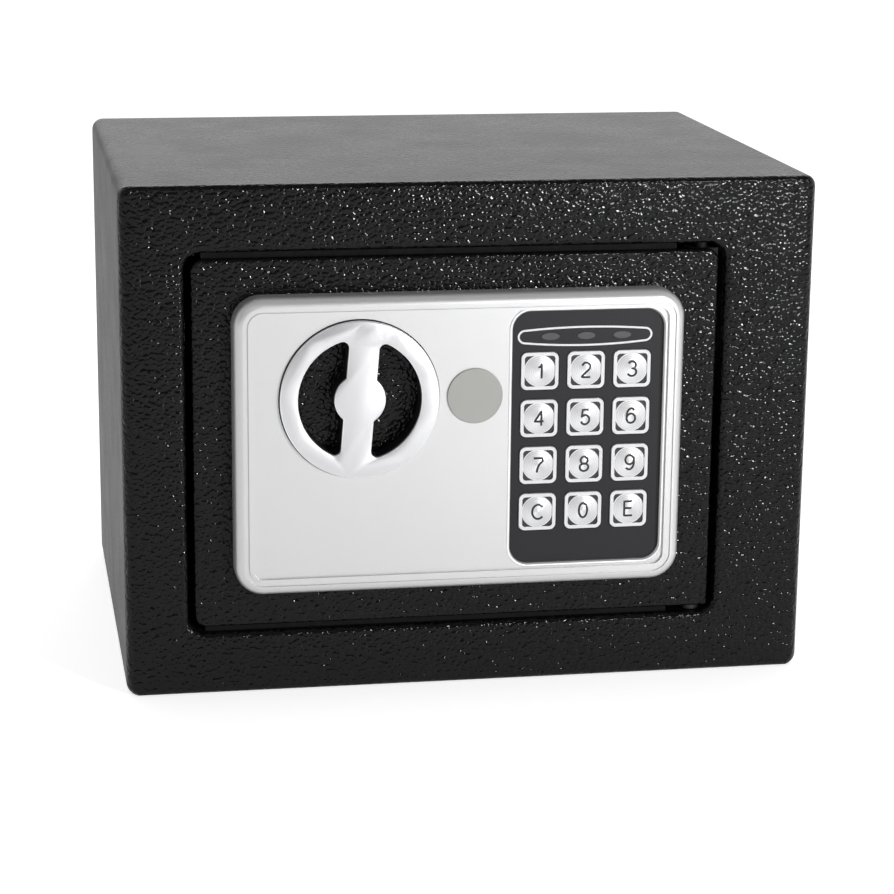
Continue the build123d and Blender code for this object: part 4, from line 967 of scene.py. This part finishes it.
class SAFE_OT_lamp_window(bpy.types.Operator):
    """Prints the white boat-shaped outline round the three lamps."""

    bl_idname = "safe.lamp_window"
    bl_label = "Lamp window"

    def execute(self, context):
        keypad = context.scene.safe_keypad
        centre = box_centre("led_lenses")
        front = front_of("keypad_overlay")
        wide, end, line = keypad.window_width / 2, keypad.window_height / 2, keypad.window_line
        deselect()
        bpy.ops.mesh.primitive_circle_add(
            vertices=96, radius=1.0, fill_type="NOTHING", location=(0, 0, 0)
        )
        outline = context.object
        for vertex in outline.data.vertices:
            x, side = vertex.co.x * wide, vertex.co.y
            rounding = math.sqrt(max(0.0, 1.0 - (max(0.0, abs(x) - (wide - end)) / end) ** 2))
            bow = 1.0 - (x / wide) ** 2
            high = end + (keypad.window_rise if side > 0 else keypad.window_drop) * bow
            vertex.co = (x, 0.0, math.copysign(high * rounding, side))
        pick(outline)
        bpy.ops.object.mode_set(mode="EDIT")
        bpy.ops.mesh.select_all(action="SELECT")
        bpy.ops.mesh.edge_face_add()
        bpy.ops.mesh.inset(thickness=line, depth=0.0)
        bpy.ops.mesh.delete(type="FACE")
        bpy.ops.object.mode_set(mode="OBJECT")
        thick = outline.modifiers.new("ink", "SOLIDIFY")
        thick.thickness = keypad.mark_thickness
        thick.offset = 0.0
        bpy.ops.object.modifier_apply(modifier="ink")
        place = (centre.x - WINDOW_SHIFT, front - keypad.mark_thickness / 2, centre.z)
        outline.data.transform(Matrix.Translation(place))
        ink = print_finish("white_window_ink", tuple(keypad.print_colour))
        settle(outline, "lamp_window_line", ink, "door")
        return {"FINISHED"}


class SAFE_OT_bolt_work(bpy.types.Operator):
    """Finishes the carriage, the bolts, their posts and the emergency lock."""

    bl_idname = "safe.bolt_work"
    bl_label = "Bolt work and lock"

    def execute(self, context):
        zinc = zinc_plated("zinc_carriage_steel")
        dress(zinc, "bolt_carriage", "carriage_posts", "post_caps", "lock_cam")
        dress(turned_steel(), "bolt_upper", "bolt_lower")
        dress(nickel_brass(), "lock_cylinder", "lock_plug", "lock_nut")
        dress(zinc_plated("zinc_screws"), "cam_screw", "cover_screws", "panel_screws", "door_studs")
        return {"FINISHED"}


class SAFE_OT_release_coil(bpy.types.Operator):
    """Finishes the solenoid, its plunger and spring."""

    bl_idname = "safe.release_coil"
    bl_label = "Release coil"

    def execute(self, context):
        dress(zinc_plated("zinc_yoke_steel"), "solenoid_frame", "solenoid_plunger")
        dress(zinc_plated("bright_spring_wire", (0.66, 0.66, 0.67)), "plunger_spring")
        dress(taped_coil(), "solenoid_coil")
        return {"FINISHED"}


class SAFE_OT_battery(bpy.types.Operator):
    """Finishes the battery box, its lid, contacts and cells."""

    bl_idname = "safe.battery"
    bl_label = "Battery box"

    def execute(self, context):
        black = satin_plastic("black_moulding", (0.022, 0.022, 0.024), 0.42, 0.5 * MM, 0.04 * MM)
        dress(black, "battery_box", "battery_lid")
        dress(zinc_plated("nickel_contact_strip", (0.66, 0.64, 0.60)), "battery_contacts")
        dress(cell_finish(), "battery_cells")
        return {"FINISHED"}


class SAFE_OT_boards(bpy.types.Operator):
    """Finishes the keypad board, the main board, their parts and the reset button."""

    bl_idname = "safe.boards"
    bl_label = "Boards and reset button"

    def execute(self, context):
        # The keypad board's node holds the bare board alone, so the mask is let run past it
        past_all = 1.0
        low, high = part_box("keypad_board")
        bare_board = board_finish("keypad_board_mask", low.y - past_all, high.y + past_all)
        dress(bare_board, "keypad_board")
        low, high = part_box("main_board")
        dress(board_finish("main_board_mask", low.y, high.y), "main_board")
        black = satin_plastic("black_component", (0.02, 0.02, 0.021), 0.45)
        dress(black, "keypad_parts", "link_header", "reset_switch")
        red = satin_plastic(
            "red_button", (0.50, 0.012, 0.012), 0.25, grain=0.6 * MM, depth=0.01 * MM, spread=0.05
        )
        dress(red, "reset_button")
        return {"FINISHED"}


OPERATORS = (
    SAFE_OT_stage,
    SAFE_OT_steel_box,
    SAFE_OT_hinge,
    SAFE_OT_front_panel,
    SAFE_OT_knob,
    SAFE_OT_keypad,
    SAFE_OT_key_marks,
    SAFE_OT_lamp_window,
    SAFE_OT_bolt_work,
    SAFE_OT_release_coil,
    SAFE_OT_battery,
    SAFE_OT_boards,
)


class SAFE_PT_panel(bpy.types.Panel):
    """Lists the safe's settings and the steps that build it."""

    bl_idname = "SAFE_PT_panel"
    bl_label = "Electronic safe"
    bl_space_type = "VIEW_3D"
    bl_region_type = "UI"
    bl_category = "Safe"

    def draw(self, context):
        layout = self.layout
        for operator in OPERATORS:
            layout.operator(operator.bl_idname)
        for name, group in SETTING_GROUPS.items():
            box = layout.box()
            box.label(text=group.__doc__)
            for setting in group.__annotations__:
                box.prop(getattr(context.scene, name), setting)


CLASSES = (*SETTING_GROUPS.values(), *OPERATORS, SAFE_PT_panel)


def register():
    for cls in CLASSES:
        bpy.utils.register_class(cls)
    for name, group in SETTING_GROUPS.items():
        setattr(bpy.types.Scene, name, PointerProperty(type=group))


def unregister():
    for name in SETTING_GROUPS:
        delattr(bpy.types.Scene, name)
    for cls in reversed(CLASSES):
        bpy.utils.unregister_class(cls)


def main():
    register()
    for operator in OPERATORS:
        group, name = operator.bl_idname.split(".")
        getattr(getattr(bpy.ops, group), name)()


if __name__ == "__main__":
    main()
